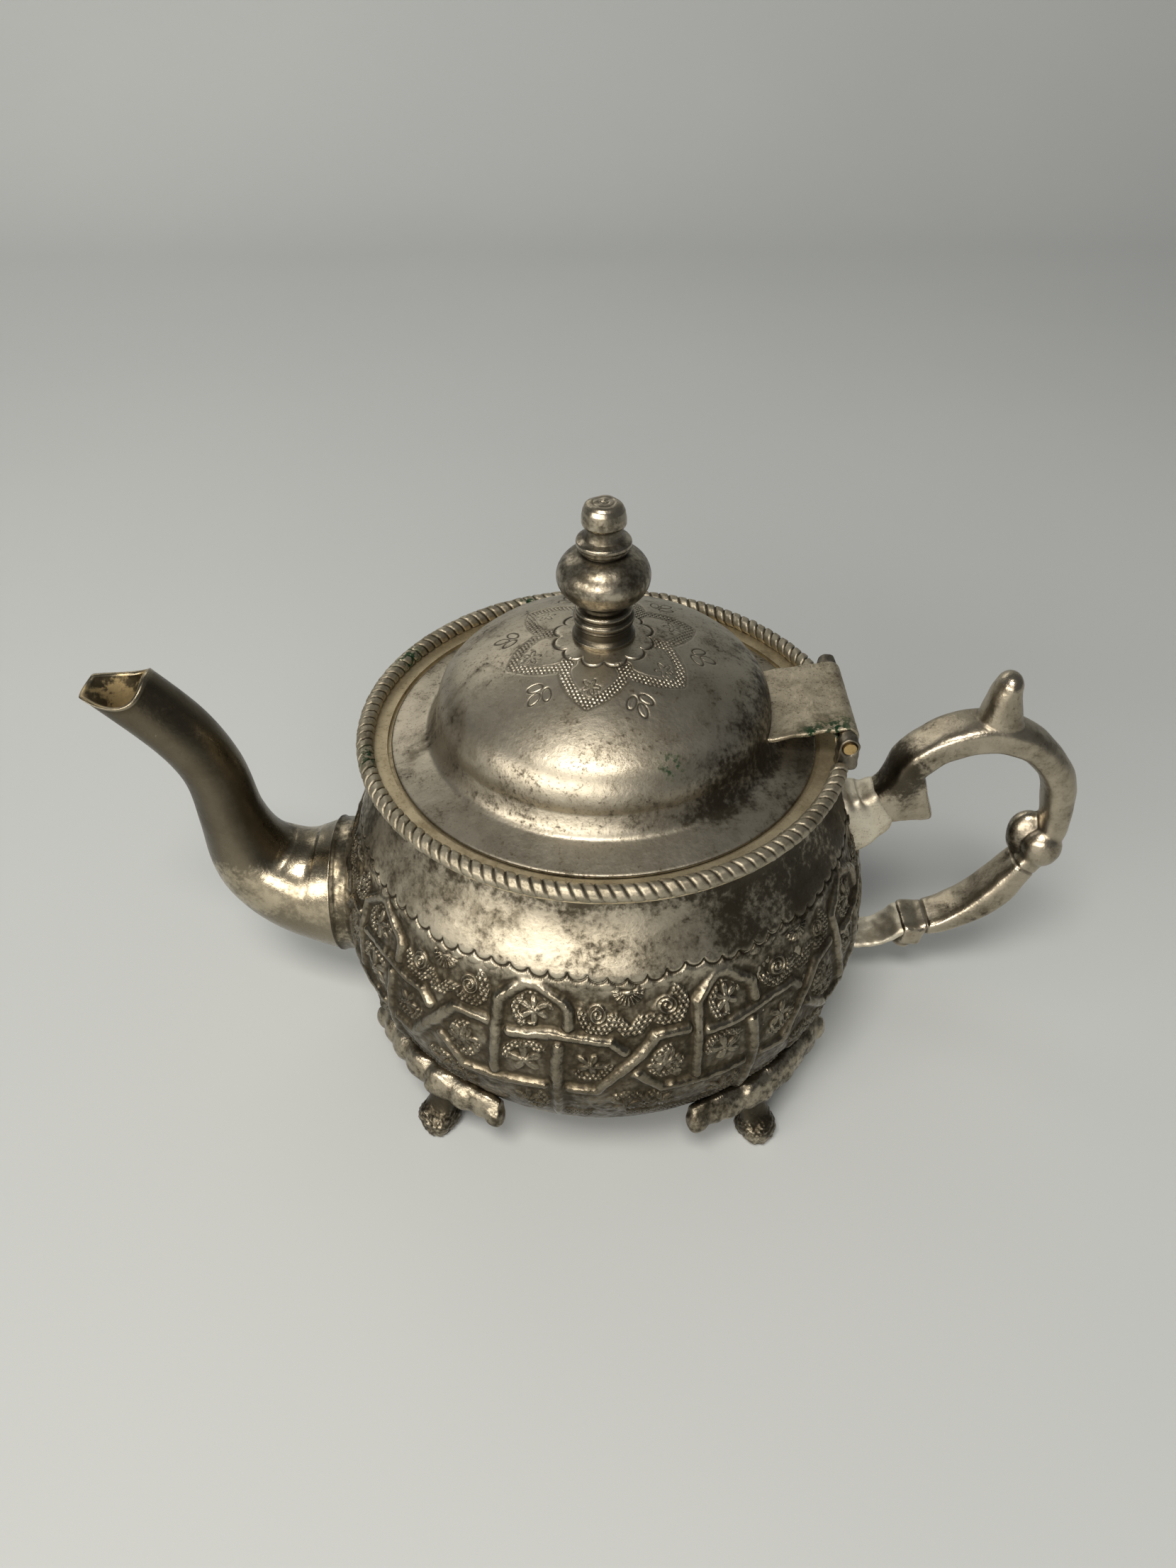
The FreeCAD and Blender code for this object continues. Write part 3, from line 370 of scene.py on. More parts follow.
BRIGHT, WORN, TARNISH = (0.52, 0.465, 0.36), (0.34, 0.3, 0.22), (0.1, 0.08, 0.05)
VERDIGRIS = (0.012, 0.055, 0.022)


def metal(name, bright, worn=WORN, tarnish=TARNISH, patch=0.5, hollow=0, gloss=0.3, grain=0.25,
          speckle=0.5, green=(), soil=0, crest_highlight=0.7, gilt=None, seed=0):
    """Worn metal with dull patches, dark hollows, specks, soiled places, painted shade, painted
    highlights on crests and spots of verdigris.
    """
    n = Nodes(bpy.data.materials.new(name))
    wide = n.noise(34 + seed, 5, 0.6, 0.6)
    cloud = n.noise(95 + seed * 3, 6, 0.68, 0.3)
    fine = n.noise(720 + seed * 5, 3, 0.6)
    grit = n.noise(1700 + seed * 9, 3, 0.62)
    dull = n.math("ADD", n.times(wide, 0.5), n.times(cloud, 0.5))
    dull = n.span(dull, 0.62 - 0.2 * patch, 0.7 - 0.12 * patch)
    spots = n.span(n.total(fine, 0.6, n.times(cloud, 0.4)), 0.55, 0.66)
    specks = n.span(n.total(grit, 0.7, n.times(cloud, 0.3)), 0.53, 0.62)
    spots = n.math("MAXIMUM", spots, n.times(specks, 0.8))
    mask = n.math("MAXIMUM", n.times(dull, 0.55), n.times(spots, speckle), clamp=True)
    colour = n.mix(n.span(cloud, 0.3, 0.7), bright, worn)
    colour = n.mix(mask, colour, tarnish)
    rough = n.total(mask, 0.22, gloss)
    rough = n.total(fine, 0.14, rough)
    black = tuple(0.28 * part for part in tarnish)
    if hollow:
        pit = n.value("hollow")
        deep = n.span(n.total(cloud, 0.16, pit), 0.54, 0.86)
        deep = n.times(deep, hollow)
        # Crests are mixed towards the bright colour by crest_highlight: a painted highlight on raised
        # work.
        crest = n.span(pit, 0.46, 0.3)
        colour = n.mix(deep, colour, black)
        colour = n.mix(n.times(crest, crest_highlight), colour, bright)
        rough = n.total(deep, 0.2, rough)
        rough = n.total(crest, -0.08, rough)
    if soil:
        # dim: painted shade and dark reflection over the chased band, which also lowers its roughness.
        dim = n.value("dim")
        colour = n.mix(dim, colour, tarnish)
        rough = n.total(dim, -0.16, rough)
        # soil holds real soil and painted shade and dark reflection, broken into flakes of dark tarnish.
        flakes = n.total(fine, 0.45, n.times(cloud, 0.55))
        flakes = n.total(n.value("soil"), 0.5, n.math("SUBTRACT", flakes, 0.5))
        share = n.times(n.span(flakes, 0, 0.22), soil)
        share = n.times(share, n.span(n.value("hollow"), 0.2, 0.4, 0.5, 1))
        colour = n.mix(share, colour, tuple(0.4 * part for part in tarnish))
        rough = n.total(share, 0.04, rough, clamp=True)
    if gilt:
        bore = n.times(n.value("bore"), n.span(cloud, 0.57, 0.47, 0.1, 1))
        colour = n.mix(bore, colour, gilt)
        rough = n.total(bore, 0.2, rough, clamp=True)
    for spot, reach in green:
        share = n.times(n.near(spot, reach), n.span(fine, 0.46, 0.56))
        colour = n.mix(share, colour, VERDIGRIS)
        rough = n.total(share, 0.3, rough, clamp=True)
    normal = n.bump(grit, 0.25 * grain, 0.0002)
    normal = n.bump(fine, 0.5 * grain, 0.0005, Normal=normal)
    normal = n.bump(cloud, 0.35 * grain, 0.0012, Normal=normal)
    return n.finish(colour, n.math("MINIMUM", rough, 0.9), 1, normal)


# Pot wall: smooth shoulder above, raised interlaced straps and punched fillings below

UNIT = 360 / 9
UNIT_START = -105.5
BELLY = 68.6
BELLY_UP = 37
BAND_FOOT = (13.5, 24)
SINK = 1.3
DEGREE = math.radians(1) * BELLY

# straps of one unit: degrees from the middle of its gable and height above the table;
# its fillings: the same with a radius
STRAPS = (
    ((-6.7, 40.4), (-6.9, 52), (-6.8, 61.2), (-1.7, 66.4), (0.6, 66.6), (6.2, 62.8), (7.2, 61.2),
     (7.3, 56.9)),
    ((-4.3, 53.6), (4, 54.4), (16, 54.4), (18.4, 51.4)),
    ((5.7, 51.2), (5.7, 41), (5.2, 24)),
    ((-18.8, 43.6), (-13.9, 37.3), (-8, 38.1), (3.1, 38.4)),
    ((8.1, 38.2), (13.6, 37.9), (24.4, 54.3), (30.7, 54.8)),
)
ROSES = ((13.4, 61, 2.7), (27, 61.9, 2.7))
FLOWERS = ((0.2, 60, 3.6), (-0.6, 46.4, 4.1), (12.2, 46.8, 3.5), (-14.2, 46.4, 3.6), (19.6, 31.4, 3.8),
           (-13.8, 31, 3.6), (-0.6, 31.4, 3.6), (27.2, 46.6, 3))
FANS = ((20, 67, 4.2),)
FESTOONS = 88
BEAD = 1.3
STRAINER_HOLE = 2.3
STRAINER_RING = 8.6


def line_distance(x, z, path):
    """Distance from each point to a broken line."""
    best = np.full(x.shape, 1e3)
    for (ax, az), (bx, bz) in zip(path, path[1:]):
        dx, dz = bx - ax, bz - az
        share = np.clip(((x - ax) * dx + (z - az) * dz) / (dx * dx + dz * dz), 0, 1)
        best = np.minimum(best, np.hypot(x - ax - share * dx, z - az - share * dz))
    return best


def dome(distance, radius):
    """Rounded bump of unit height."""
    return np.sqrt(np.clip(1 - (distance / radius) ** 2, 0, 1))


def bead_field(x, z, pitch=BEAD):
    """Close rows of round punch marks."""
    row = pitch * math.sqrt(3)
    first = np.hypot((x + pitch / 2) % pitch - pitch / 2, (z + row / 2) % row - row / 2)
    second = np.hypot(x % pitch - pitch / 2, z % row - row / 2)
    return dome(np.minimum(first, second), pitch * 0.5)


def rose(x, z, radius, spin):
    """Coiled flower with rows of beads on one side and below."""
    far, turn = np.hypot(x, z), np.arctan2(z, x)
    coil = 0.5 + 0.5 * np.cos(2 * math.pi * (far / 1.05 - turn / (2 * math.pi)))
    ring = ramp(radius + 2.7, radius + 2.3, far) * ramp(radius * 0.95, radius * 1.05, far)
    ring = ring * ramp(-0.25, 0.05, np.cos(turn - 3.9 - 0.1 * spin))
    return 0.5 * coil * ramp(radius, radius * 0.75, far) + 0.5 * ring * bead_field(x, z)


def flower(x, z, radius, spin):
    """Pointed petals round buttons, with a cluster of beads on one side."""
    far, turn = np.hypot(x, z), np.arctan2(z, x) + spin
    petals = 5 + round(abs(math.sin(spin * 3)))
    blade = np.abs(np.cos(turn * petals / 2))
    edge = radius * (0.4 + 0.68 * blade ** 1.4)
    petal = dome(far, edge) * (0.45 + 0.55 * blade)
    slip = (turn * petals / (2 * math.pi) + 0.5) % 1 - 0.5
    vein = 0.22 * peak(slip * far, 0.22) * ramp(0.5, 0.9, far) * (far < edge * 0.8)
    ring = ramp(radius + 1.9, radius + 1.5, far) * ramp(radius * 0.85, radius, far)
    ring = ring * ramp(0.1, 0.35, np.cos(turn - 2 * spin))
    buttons = sum(dome(np.hypot(x - 0.7 * math.cos(k + spin), z - 0.7 * math.sin(k + spin)), 0.62)
                  for k in (0.5, 2.6, 4.7))
    return 0.62 * petal - vein + 0.22 * buttons + 0.5 * ring * bead_field(x, z)


def fan(x, z, radius, spin):
    """Half moon with rays, hanging from its straight edge, a little turned."""
    lean = 0.1 * math.sin(spin)
    x, z = x - lean * z, z + lean * x
    far, turn = np.hypot(x, z), np.arctan2(-z, x)
    inside = ramp(radius, radius * 0.9, far) * ramp(-0.1, 0.3, -z)
    rays = ramp(-0.5, 0.6, np.cos(turn * 20))
    return inside * (0.5 * ramp(1.2, 1.6, far) * rays + 0.5 * dome(far, 1.4))


def sunk_share(z):
    """How far the ground of the chased band is pushed in at a height."""
    return ramp(70.2, 63.5, z) * ramp(*BAND_FOOT, z)


def festoon_lines(turn, lift):
    """Chased rows of hanging scallops with fine rays below each."""
    line = np.zeros(turn.shape)
    step = 360 / FESTOONS * DEGREE * 0.9
    wobble = 0.2 * wave_sum(8, np.radians(turn), high=30)
    ticks = peak((turn * FESTOONS * 9 / 360) % 1 - 0.5, 0.2)
    worn = ramp(-0.6, 0.5, wave_sum(9, np.radians(turn), high=11))
    for offset, top, deep in ((0, 69.9, 0.55), (0.5, 68.3, 0.2 * worn)):
        across = ((turn * FESTOONS / 360 + offset) % 1 - 0.5) * step
        past = np.hypot(across, lift - top - 1.14 + wobble) - 2.4
        under = lift < top + 0.35
        line = np.minimum(line, -deep * peak(past, 0.28) * under)
        band = ramp(0.1, 0.25, past) * ramp(0.85, 0.6, past) * under
        line = np.minimum(line, -0.5 * deep * ticks * band)
    return line


def belly_relief(turn, z):
    """Height of the chased work above its sunk ground."""
    angle = np.radians(turn)
    bent = turn + 0.42 * wave_sum(3, angle, z, high=16)
    lift = z + 0.3 * wave_sum(4, angle, z, high=18)
    unit = (bent - UNIT_START + UNIT / 2) % UNIT - UNIT / 2
    work = np.zeros(unit.shape)
    nearest = np.full(unit.shape, 1e3)
    for shift in (-UNIT, 0, UNIT):
        x = (unit + shift) * DEGREE
        for pattern, spots in ((rose, ROSES), (flower, FLOWERS), (fan, FANS)):
            for at, up, radius in spots:
                work = np.maximum(work, pattern(x - at * DEGREE, lift - up, radius, at * 0.7 + up))
        heart = np.abs(np.abs(x - 20.2 * DEGREE) - (lift - 55.8) * 0.85)
        heart = ramp(2.2, 1.9, heart) * ramp(55.4, 56, lift) * ramp(60.6, 60.2, lift)
        arch = np.abs(np.hypot(x - 0.2 * DEGREE, lift - 60.2) - 4.2)
        arch = ramp(0.55, 0.4, arch) * ramp(60.4, 61.2, lift)
        work = np.maximum(work, 0.42 * np.maximum(heart, arch) * bead_field(x, lift))
        for path in STRAPS:
            nearest = np.minimum(nearest, line_distance(x, lift, [(at * DEGREE, up) for at, up in path]))
    border = ramp(27.2, 26.8, lift) * ramp(22.2, 22.8, lift) * (wave_sum(7, angle * 3) > -0.3)
    work = np.maximum(work, 0.35 * border * bead_field(bent * DEGREE, lift, 1.15))
    work = 1.25 * work * ramp(1.5, 2.2, nearest) * ramp(70, 67.6, z) * ramp(*BAND_FOOT, z)
    fade = 0.9 + 0.08 * wave_sum(6, angle, z, high=14)
    strap = 1.26 * np.clip(fade, 0.6, 1) * ramp(2.1, 0.2, nearest) * sunk_share(z)
    dice = np.random.default_rng(5)
    ground = sum(depth * width * 3.5 * blur_grid(dice.standard_normal(turn.shape), width, width)
                 for width, depth in ((1.3, 0.035), (3.5, 0.07), (9, 0.07)))
    return np.maximum(work, strap) + ground * sunk_share(z) + festoon_lines(turn, lift)


def pot_profile():
    """Outer curve of the pot from the middle of its bottom to the neck."""
    corner = arc_points((38.5, BELLY_UP), 31, -90, 0, 200)
    shoulder = arc_points((-0.5, BELLY_UP), 70, 0, math.degrees(math.asin(BELLY_UP / 70)), 240)
    share = np.linspace(0, 1, 30)[:, None]
    neck = shoulder[-1] + (np.array([53, 86]) - shoulder[-1]) * share
    neck[:, 0] -= 0.32 * np.sin(share[:, 0] * math.pi)
    return np.concatenate([[(0.05, 6), (20, 6)], corner, shoulder[1:], neck[1:]])


def turned_from(turn, place):
    """Degrees between two directions round the axis."""
    return np.abs((turn - place + 180) % 360 - 180)


def pot_soil(turn, up):
    """How much the wall is darkened: a base share, more under the rim, on the right of the shoulder,
    beside the spout and on the band, and a painted dark reflection low on the belly.
    """
    right = ramp(44, 20, turned_from(turn, -30)) * ramp(64, 71, up)
    spout = ramp(40, 22, np.abs(turn - 180)) * ramp(58, 66, up)
    rim = ramp(80, 86, up)
    # painted dark reflection on the lower belly
    low = ramp(40, 18, up)
    sunk = sunk_share(up)
    return np.clip(0.1 + 0.34 * right + 0.06 * spout + 0.35 * rim + 0.04 * sunk + 0.2 * low, 0, 1)


def make_pot():
    """Pot wall with its chased work, smooth inside and strainer holes."""
    curve = pot_profile()
    run = run_of(curve)
    fine = [np.interp(up, curve[2:, 1], run[2:]) for up in (13, 74)]
    spots = np.concatenate([
        np.linspace(0, 37.9, 8), np.linspace(38.5, fine[0] - 0.3, 26),
        np.arange(fine[0], fine[1], 0.26), np.linspace(fine[1], run[-1], 16)])
    path = along(curve, spots=spots)
    cols = 1800
    turn, up = np.meshgrid(np.arange(cols) * 360 / cols, path[:, 1])
    sunk = sunk_share(up)
    ends = ramp(6.5, 12, up) * ramp(86, 80, up)
    dents = (0.14 * wave_sum(11, np.radians(turn), up, high=9) - 0.2) * ends
    lift = belly_relief(turn, up) - SINK * sunk + dents
    hollow = 0.5 + (blur_grid(lift, 4.5, 4.5) - lift) / 0.85 + 0.06 * sunk
    # dim darkens the whole chased band with painted shade and dark reflection, more towards its bottom.
    skin = lathe("pot_skin", path, cols, lift, hollow=np.clip(hollow, 0, 1), soil=pot_soil(turn, up),
                 dim=(0.5 + 0.35 * ramp(56, 26, up)) * sunk)
    spots = points_of(skin)
    drop_points(skin, (spots[:, 0] < -50) & (np.hypot(spots[:, 1], spots[:, 2] - BELLY_UP) < 15.5))

    normals = profile_normals(curve)
    depth = (1.2 + sunk_share(curve[:, 1]))[:, None] * normals
    inside = along(curve - depth, step=2)
    backing = along(curve - depth + 0.4 * normals, step=2)
    inside[:, 0] = np.maximum(inside[:, 0], 0.05)
    loop = np.concatenate([backing, inside[::-1]])
    liner = lathe("pot_liner", loop, 240, wrap=True, hollow=np.full((len(loop), 240), 0.5))
    cut_strainer(liner)
    return join("pot_wall", skin, liner)


def cut_strainer(liner):
    """Seven round holes through the liner behind the spout."""
    drills = []
    for number in range(7):
        angle = math.radians(60 * number + 30)
        reach = STRAINER_RING if number else 0
        bpy.ops.mesh.primitive_cylinder_add(
            vertices=24, radius=STRAINER_HOLE * MM, depth=30 * MM, rotation=(0, math.pi / 2, 0),
            location=(-64 * MM, reach * math.cos(angle) * MM, (BELLY_UP + reach * math.sin(angle)) * MM))
        drills.append(bpy.context.object)
    drill = join("strainer_drill", *drills)
    cut = liner.modifiers.new("strainer", "BOOLEAN")
    cut.operation = "DIFFERENCE"
    cut.object = drill
    apply_modifiers(liner)
    bpy.data.objects.remove(drill)
    liner.data.shade_smooth()


# Lid, chased round its finial

HEART_STEP = 60
HEART_START = -100
HEART = ((0, 22), (1.6, 20.9), (3.6, 19.2), (5.4, 16.8), (6.5, 14.2), (6.6, 12.2), (5.6, 10.8))
BUD_LEAVES = ((0, 24.2, 90), (-1.7, 21.9, 130), (1.7, 21.9, 50))
BLOOM_OUT = 17.4


def leaf_mark(x, z, spot):
    """Outline and midrib of a small leaf, and how far out each point lies in it."""
    cx, cz, tilt = spot
    turn = math.radians(tilt)
    length = (x - cx) * math.cos(turn) + (z - cz) * math.sin(turn)
    across = -(x - cx) * math.sin(turn) + (z - cz) * math.cos(turn)
    far = np.hypot(length / 1.75, across)
    rib = 0.6 * peak(across, 0.16) * (np.abs(length) < 1.3)
    return np.maximum(peak(far - 1, 0.16), rib), far


def lid_relief(turn, out):
    """Chased lines on the dome, as depths below its surface."""
    angle = np.radians((turn - HEART_START + HEART_STEP / 2) % HEART_STEP - HEART_STEP / 2)
    x, z = out * np.sin(angle), out * np.cos(angle)
    band = line_distance(np.abs(x), z, HEART)
    cobble = 0.32 * ramp(1.2, 1, band) * (1 - bead_field(x, z, 0.98))
    border = 0.14 * peak(band - 1.3, 0.22) * (out > 11)
    bloom = z - BLOOM_OUT
    petals = 0.16 * peak(np.hypot(x, bloom) - 1.5 - 0.7 * np.cos(5 * np.arctan2(bloom, x)), 0.2)
    ticks = 0.12 * peak((x * 1.4) % 1 - 0.5, 0.2) * (np.abs(x) < 1.9) * (np.abs(z - 18.9) < 0.5)
    mark = -np.maximum.reduce([cobble, border, petals, ticks])
    angle = np.radians((turn - HEART_START) % HEART_STEP - HEART_STEP / 2)
    x, z = out * np.sin(angle), out * np.cos(angle)
    for spot in BUD_LEAVES:
        rim, far = leaf_mark(x, z, spot)
        mark = np.minimum(mark, -0.2 * rim) + 0.08 * dome(far, 0.9)
    lobe = np.abs(np.sin(np.radians(turn * 6)))
    edge = out - 9.6 - 2.1 * np.sqrt(lobe)
    mark = np.minimum(mark, -0.34 * peak(edge, 0.28))
    return mark + 0.12 * ramp(0.1, -0.5, edge) * ramp(6, 7.5, out)


def lid_profile():
    """Upper surface of the lid from the underside of its edge to the stud."""
    edge = arc_points((50.95, 90.35), 0.5, -80, 60, 8)
    share = np.linspace(0, 1, 14)
    flare = np.stack([np.linspace(43.4, 40.05, 14), 92.7 + 4.75 * share ** 1.9], 1)
    side = arc_points((28, 97.45), 12, 0, 58.1, 40)
    crown = arc_points((0, 52.45), 65, 58.1, 88.2, 160)
    return np.concatenate([edge, [(43.9, 92.55)], flare, side, crown[1:]])


def make_lid():
    """Domed lid with its chased flowers, rolled edge and plain underside."""
    path = lid_profile()
    under = along(path - profile_normals(path), step=0.9)[8:]
    under = np.concatenate([[(50.7, 89.87)], under])[::-1]
    run = run_of(path)
    fine = run[-1] - 30
    path = along(path, spots=np.concatenate([np.arange(0, fine, 0.45), np.arange(fine, run[-1], 0.24)]))
    cols = 1000
    turn, out = np.meshgrid(np.arange(cols) * 360 / cols, path[:, 0])
    dents = 0.1 * wave_sum(21, np.radians(turn), out * 2, high=7) * ramp(51, 44, out)
    lift = dents - 0.1 + np.where(path[:, 1:] > 100, lid_relief(turn, out), 0)
    hollow = np.clip(0.5 + (blur_grid(lift, 3.5, 3.5) - lift) / 0.4, 0, 1)
    # The lid is darkened only by painted shade: on the right of the dome's lower side and flange, less on
    # the flange, and in the ring where the dome meets the flange.
    right = ramp(60, 25, turned_from(turn, -20))
    base = ramp(44.5, 41.5, out) * ramp(38.5, 40.5, out)
    side = ramp(28, 38, out) * (1 - 0.45 * ramp(43, 46, out))
    soil = -0.06 + 0.3 * right * side + 0.14 * base
    top = lathe("lid_top", path, cols, lift, hollow=hollow, soil=soil)
    bottom = lathe("lid_under", under, 160, hollow=np.full((len(under), 160), 0.5))
    return join("lid_sheet", top, bottom)


# Rope wire on the ledge

ROPE_RIDGES = 118
ROPE_MIDDLE = (57.4, 92)
ROPE_RADIUS = 2
LEDGE = 90.58


def make_rope():
    """Twisted wire with a flat underside, open at the hinge."""
    start, end = math.radians(18.4), math.radians(341.6)
    cols, rows = ROPE_RIDGES * 16, 28
    turn, tube = np.meshgrid(np.linspace(start, end, cols), ring_steps(rows), indexing="ij")
    phase = (turn - start) / (end - start) * ROPE_RIDGES * math.pi + tube
    uneven = 0.07 * wave_sum(31, turn, tube * 60, count=12, high=90)
    worn = ramp(0.55, -0.1, np.sin(tube)) * (np.cos(tube) > 0)
    groove = peak(np.cos(phase), 0.32) * (1 - 0.6 * worn)
    ends = ramp(0, 0.012, turn - start) * ramp(0, 0.012, end - turn)
    radius = (ROPE_RADIUS - 0.5 * groove + uneven) * (0.55 + 0.45 * ends)
    out = ROPE_MIDDLE[0] + radius * np.cos(tube)
    up = np.maximum(ROPE_MIDDLE[1] + radius * np.sin(tube), LEDGE)
    hollow = np.clip(0.44 + 0.45 * groove, 0, 1)
    faces = grid_faces(cols, rows, wrap_cols=True)[:, ::-1]
    return close_ends(add_mesh("rope_wire", round_axis(out, turn, up), faces, hollow=hollow))


# Finial

def make_finial():
    """Turned knob with its rings, ball, disc and cap."""
    path = np.concatenate([
        [(2, 117.2), (7, 116.6), (7.3, 117.2), (7.3, 118.1), (6.9, 118.5), (6.4, 118.9)],
        [(6.3, 120.5), (6.7, 120.8), (6.75, 121.1), (6.4, 121.35)],
        arc_points((6, 122.3), 1.1, -60, 60, 9),
        [(6.2, 123.4)],
        arc_points((5.7, 124.3), 0.9, -60, 60, 9),
        [(5.2, 125.3), (5, 125.9), (5.3, 126.4)],
        arc_points((3.65, 0), 6.95, -58, 80, 44) * (1, 0.86) + (0, 132.85),
        [(5.6, 139.35), (5.75, 139.6), (5.85, 140.4), (6.15, 140.55), (6.2, 141.3), (6.05, 141.6)],
        [(4.6, 142.3), (4.2, 143), (4, 143.8), (3.95, 144.6), (4.2, 144.85), (4.7, 145.05)],
        [(4.92, 145.6), (4.85, 147), (4.55, 148.5), (4.1, 149.5), (3.6, 150), (3.1, 150.2)],
        [(2.6, 150.25), (2.3, 150.12), (2, 150.26), (1.3, 150.3), (1.1, 150.2), (0.9, 150.3)],
        [(0.02, 150.32)],
    ])
    path = along(path, step=0.16)
    cols = 192
    turn, up = np.meshgrid(ring_steps(cols), path[:, 1])
    lift = 0.05 * wave_sum(41, turn, up * 4, high=5) - 0.05
    lift[0] = 0
    mean = np.convolve(np.pad(path[:, 0], 12, "edge"), np.ones(25) / 25, "valid")
    hollow = np.clip(0.5 + 0.5 * (mean - path[:, 0]) / 0.9, 0, 1)
    hollow[path[:, 1] > 149.6] = 0.5
    knob = lathe("finial_turned", path, cols, lift, hollow=np.repeat(hollow[:, None], cols, 1))
    # darker at the foot of the knob, lighter on the top of the cap
    return set_soil(knob, 0.27, ((0, 0, 118), 12, 0.4), ((0, 0, 149.5), 8, -0.35))


# Spout

# stations of the spout: x, height, width and heading in degrees
SPOUT = (
    (-71.5, 37, 36, 180), (-79, 37.8, 31.5, 168), (-91, 45.4, 25, 130), (-96.3, 62, 17.4, 98),
    (-98.1, 78.5, 15.7, 105), (-104.6, 92, 15.6, 126), (-117.9, 107.8, 15.2, 130),
)
MOUTH_SPOT = (-114.5, 105.3)
MOUTH_SLOPE = math.radians(6)
MOUTH_DIP = 1.9
SEAM_OUT = -71.45
# section of the seam band: share of the way out, radius and depth in the wall
SEAM = (
    (0, 18.2, 2.6), (0, 18.4, 0.4), (0.1, 18.45, 0), (0.2, 18.15, 0), (0.6, 18.1, 0), (0.75, 18.2, 0),
    (0.85, 18.5, 0), (0.95, 18.4, 0), (1, 18, 0), (1, 17.2, 0), (0.5, 16.9, 0), (0, 16.9, 2.6),
)


def smooth_way(stations, steps):
    """Smooth line through stations of (x, height, sizes, heading), with its sideways directions."""
    stations = np.asarray(stations, float)
    values, heading = stations[:, :-1], np.radians(stations[:, -1])
    run = run_of(values)
    slopes = np.gradient(values, run, axis=0)
    slopes[:, :2] = np.stack([np.cos(heading), np.sin(heading)], 1)
    rows = []
    for k, length in enumerate(np.diff(run)):
        t = np.linspace(0, 1, steps, endpoint=k == len(values) - 2)[:, None]
        first = (2 * t ** 3 - 3 * t ** 2 + 1) * values[k] + (t ** 3 - 2 * t ** 2 + t) * slopes[k] * length
        second = (3 * t ** 2 - 2 * t ** 3) * values[k + 1] + (t ** 3 - t ** 2) * slopes[k + 1] * length
        rows.append(first + second)
    line = np.concatenate(rows)
    line = along(line, count=len(line))
    way = np.gradient(line[:, :2], axis=0)
    way /= np.hypot(*way.T)[:, None]
    return line, np.stack([-way[:, 1], way[:, 0]], 1)


def spout_skin(inset, cols):
    """Rings of points along the spout, ending on its mouth, which dips at both sides."""
    line, side = smooth_way(SPOUT, 40)
    turn = ring_steps(cols)
    radius = line[:, 2:] / 2 - inset
    across = radius * np.cos(turn)
    x, z = line[:, :1] + side[:, :1] * across, line[:, 1:2] + side[:, 1:] * across
    grid = np.stack([x, radius * np.sin(turn), z], -1)
    above = (z - MOUTH_SPOT[1]) * math.cos(MOUTH_SLOPE) - (x - MOUTH_SPOT[0]) * math.sin(MOUTH_SLOPE)
    above = above + MOUTH_DIP * (2 * np.sin(turn) ** 2 - 0.6)
    share = np.linspace(0, 1, len(line))
    rings = np.empty_like(grid)
    for col in range(cols):
        first = np.argmax(above[:, col] > 0)
        end = 1
        if above[first, col] > 0:
            low, high = above[first - 1, col], above[first, col]
            end = share[first - 1] - low / (high - low) * (share[first] - share[first - 1])
        for k in range(3):
            rings[:, col, k] = np.interp(share * end, share, grid[:, col, k])
    return rings


def make_spout():
    """Curved tube with its bore and a thin slanting lip."""
    cols = 96
    outer, inner = spout_skin(0, cols), spout_skin(1.1, cols)
    lip = (outer[-1] + inner[-1]) / 2
    edge = outer[-1] * 0.9 + outer[-2] * 0.1
    rows = np.concatenate([outer[:-1], [edge, outer[-1] * 0.72 + lip * 0.28, lip], inner[-2::-1]])
    spout = add_mesh("spout_tube", rows, grid_faces(len(rows), cols, True, True)[:, ::-1])
    points = points_of(spout)
    up = points[:, 2]
    row = np.arange(len(points)) // cols
    dents = 0.1 * wave_sum(51, np.tile(ring_steps(cols), len(rows)), up * 2, high=4) - 0.12
    dents[row >= len(outer) - 3] = 0
    push(spout, dents)
    mark_hollows(spout, 10, 0.3)
    bore = row > len(outer)
    # Spout darkening: a base share of soil; darker above the elbow, as tarnish and painted dark
    # reflection; a little lighter towards the mouth; painted dark reflection on the lower part; an even
    # share inside the bore.
    soil = 0.12 + 0.66 * ramp(48, 60, up) - 0.2 * ramp(80, 92, up) + 0.75 * ramp(43, 29, up)
    set_value(spout, "soil", np.where(bore, 0.5, soil))
    set_value(spout, "bore", bore)
    return spout


def make_spout_ring():
    """Seam band round the spout's root, let into the pot wall."""
    cols = 160
    turn = ring_steps(cols)
    curve = pot_profile()[2:]
    rows = []
    for share, radius, sink in SEAM:
        y, z = radius * np.cos(turn), BELLY_UP + radius * np.sin(turn)
        belly = np.interp(z, curve[:, 1], curve[:, 0])
        wall = -np.sqrt(np.maximum(belly ** 2 - y ** 2, 0)) + 0.5 + sink
        rows.append(np.stack([wall + (SEAM_OUT - wall) * share, y, z], -1))
    ring = add_mesh("spout_seam", rows, grid_faces(len(rows), cols, True, True))
    mark_hollows(ring, 4, 0.6)
    return set_soil(ring, 0.3, ((-70, 0, 18), 14, 0.4))


# Cast handle, sockets, feet and hinge

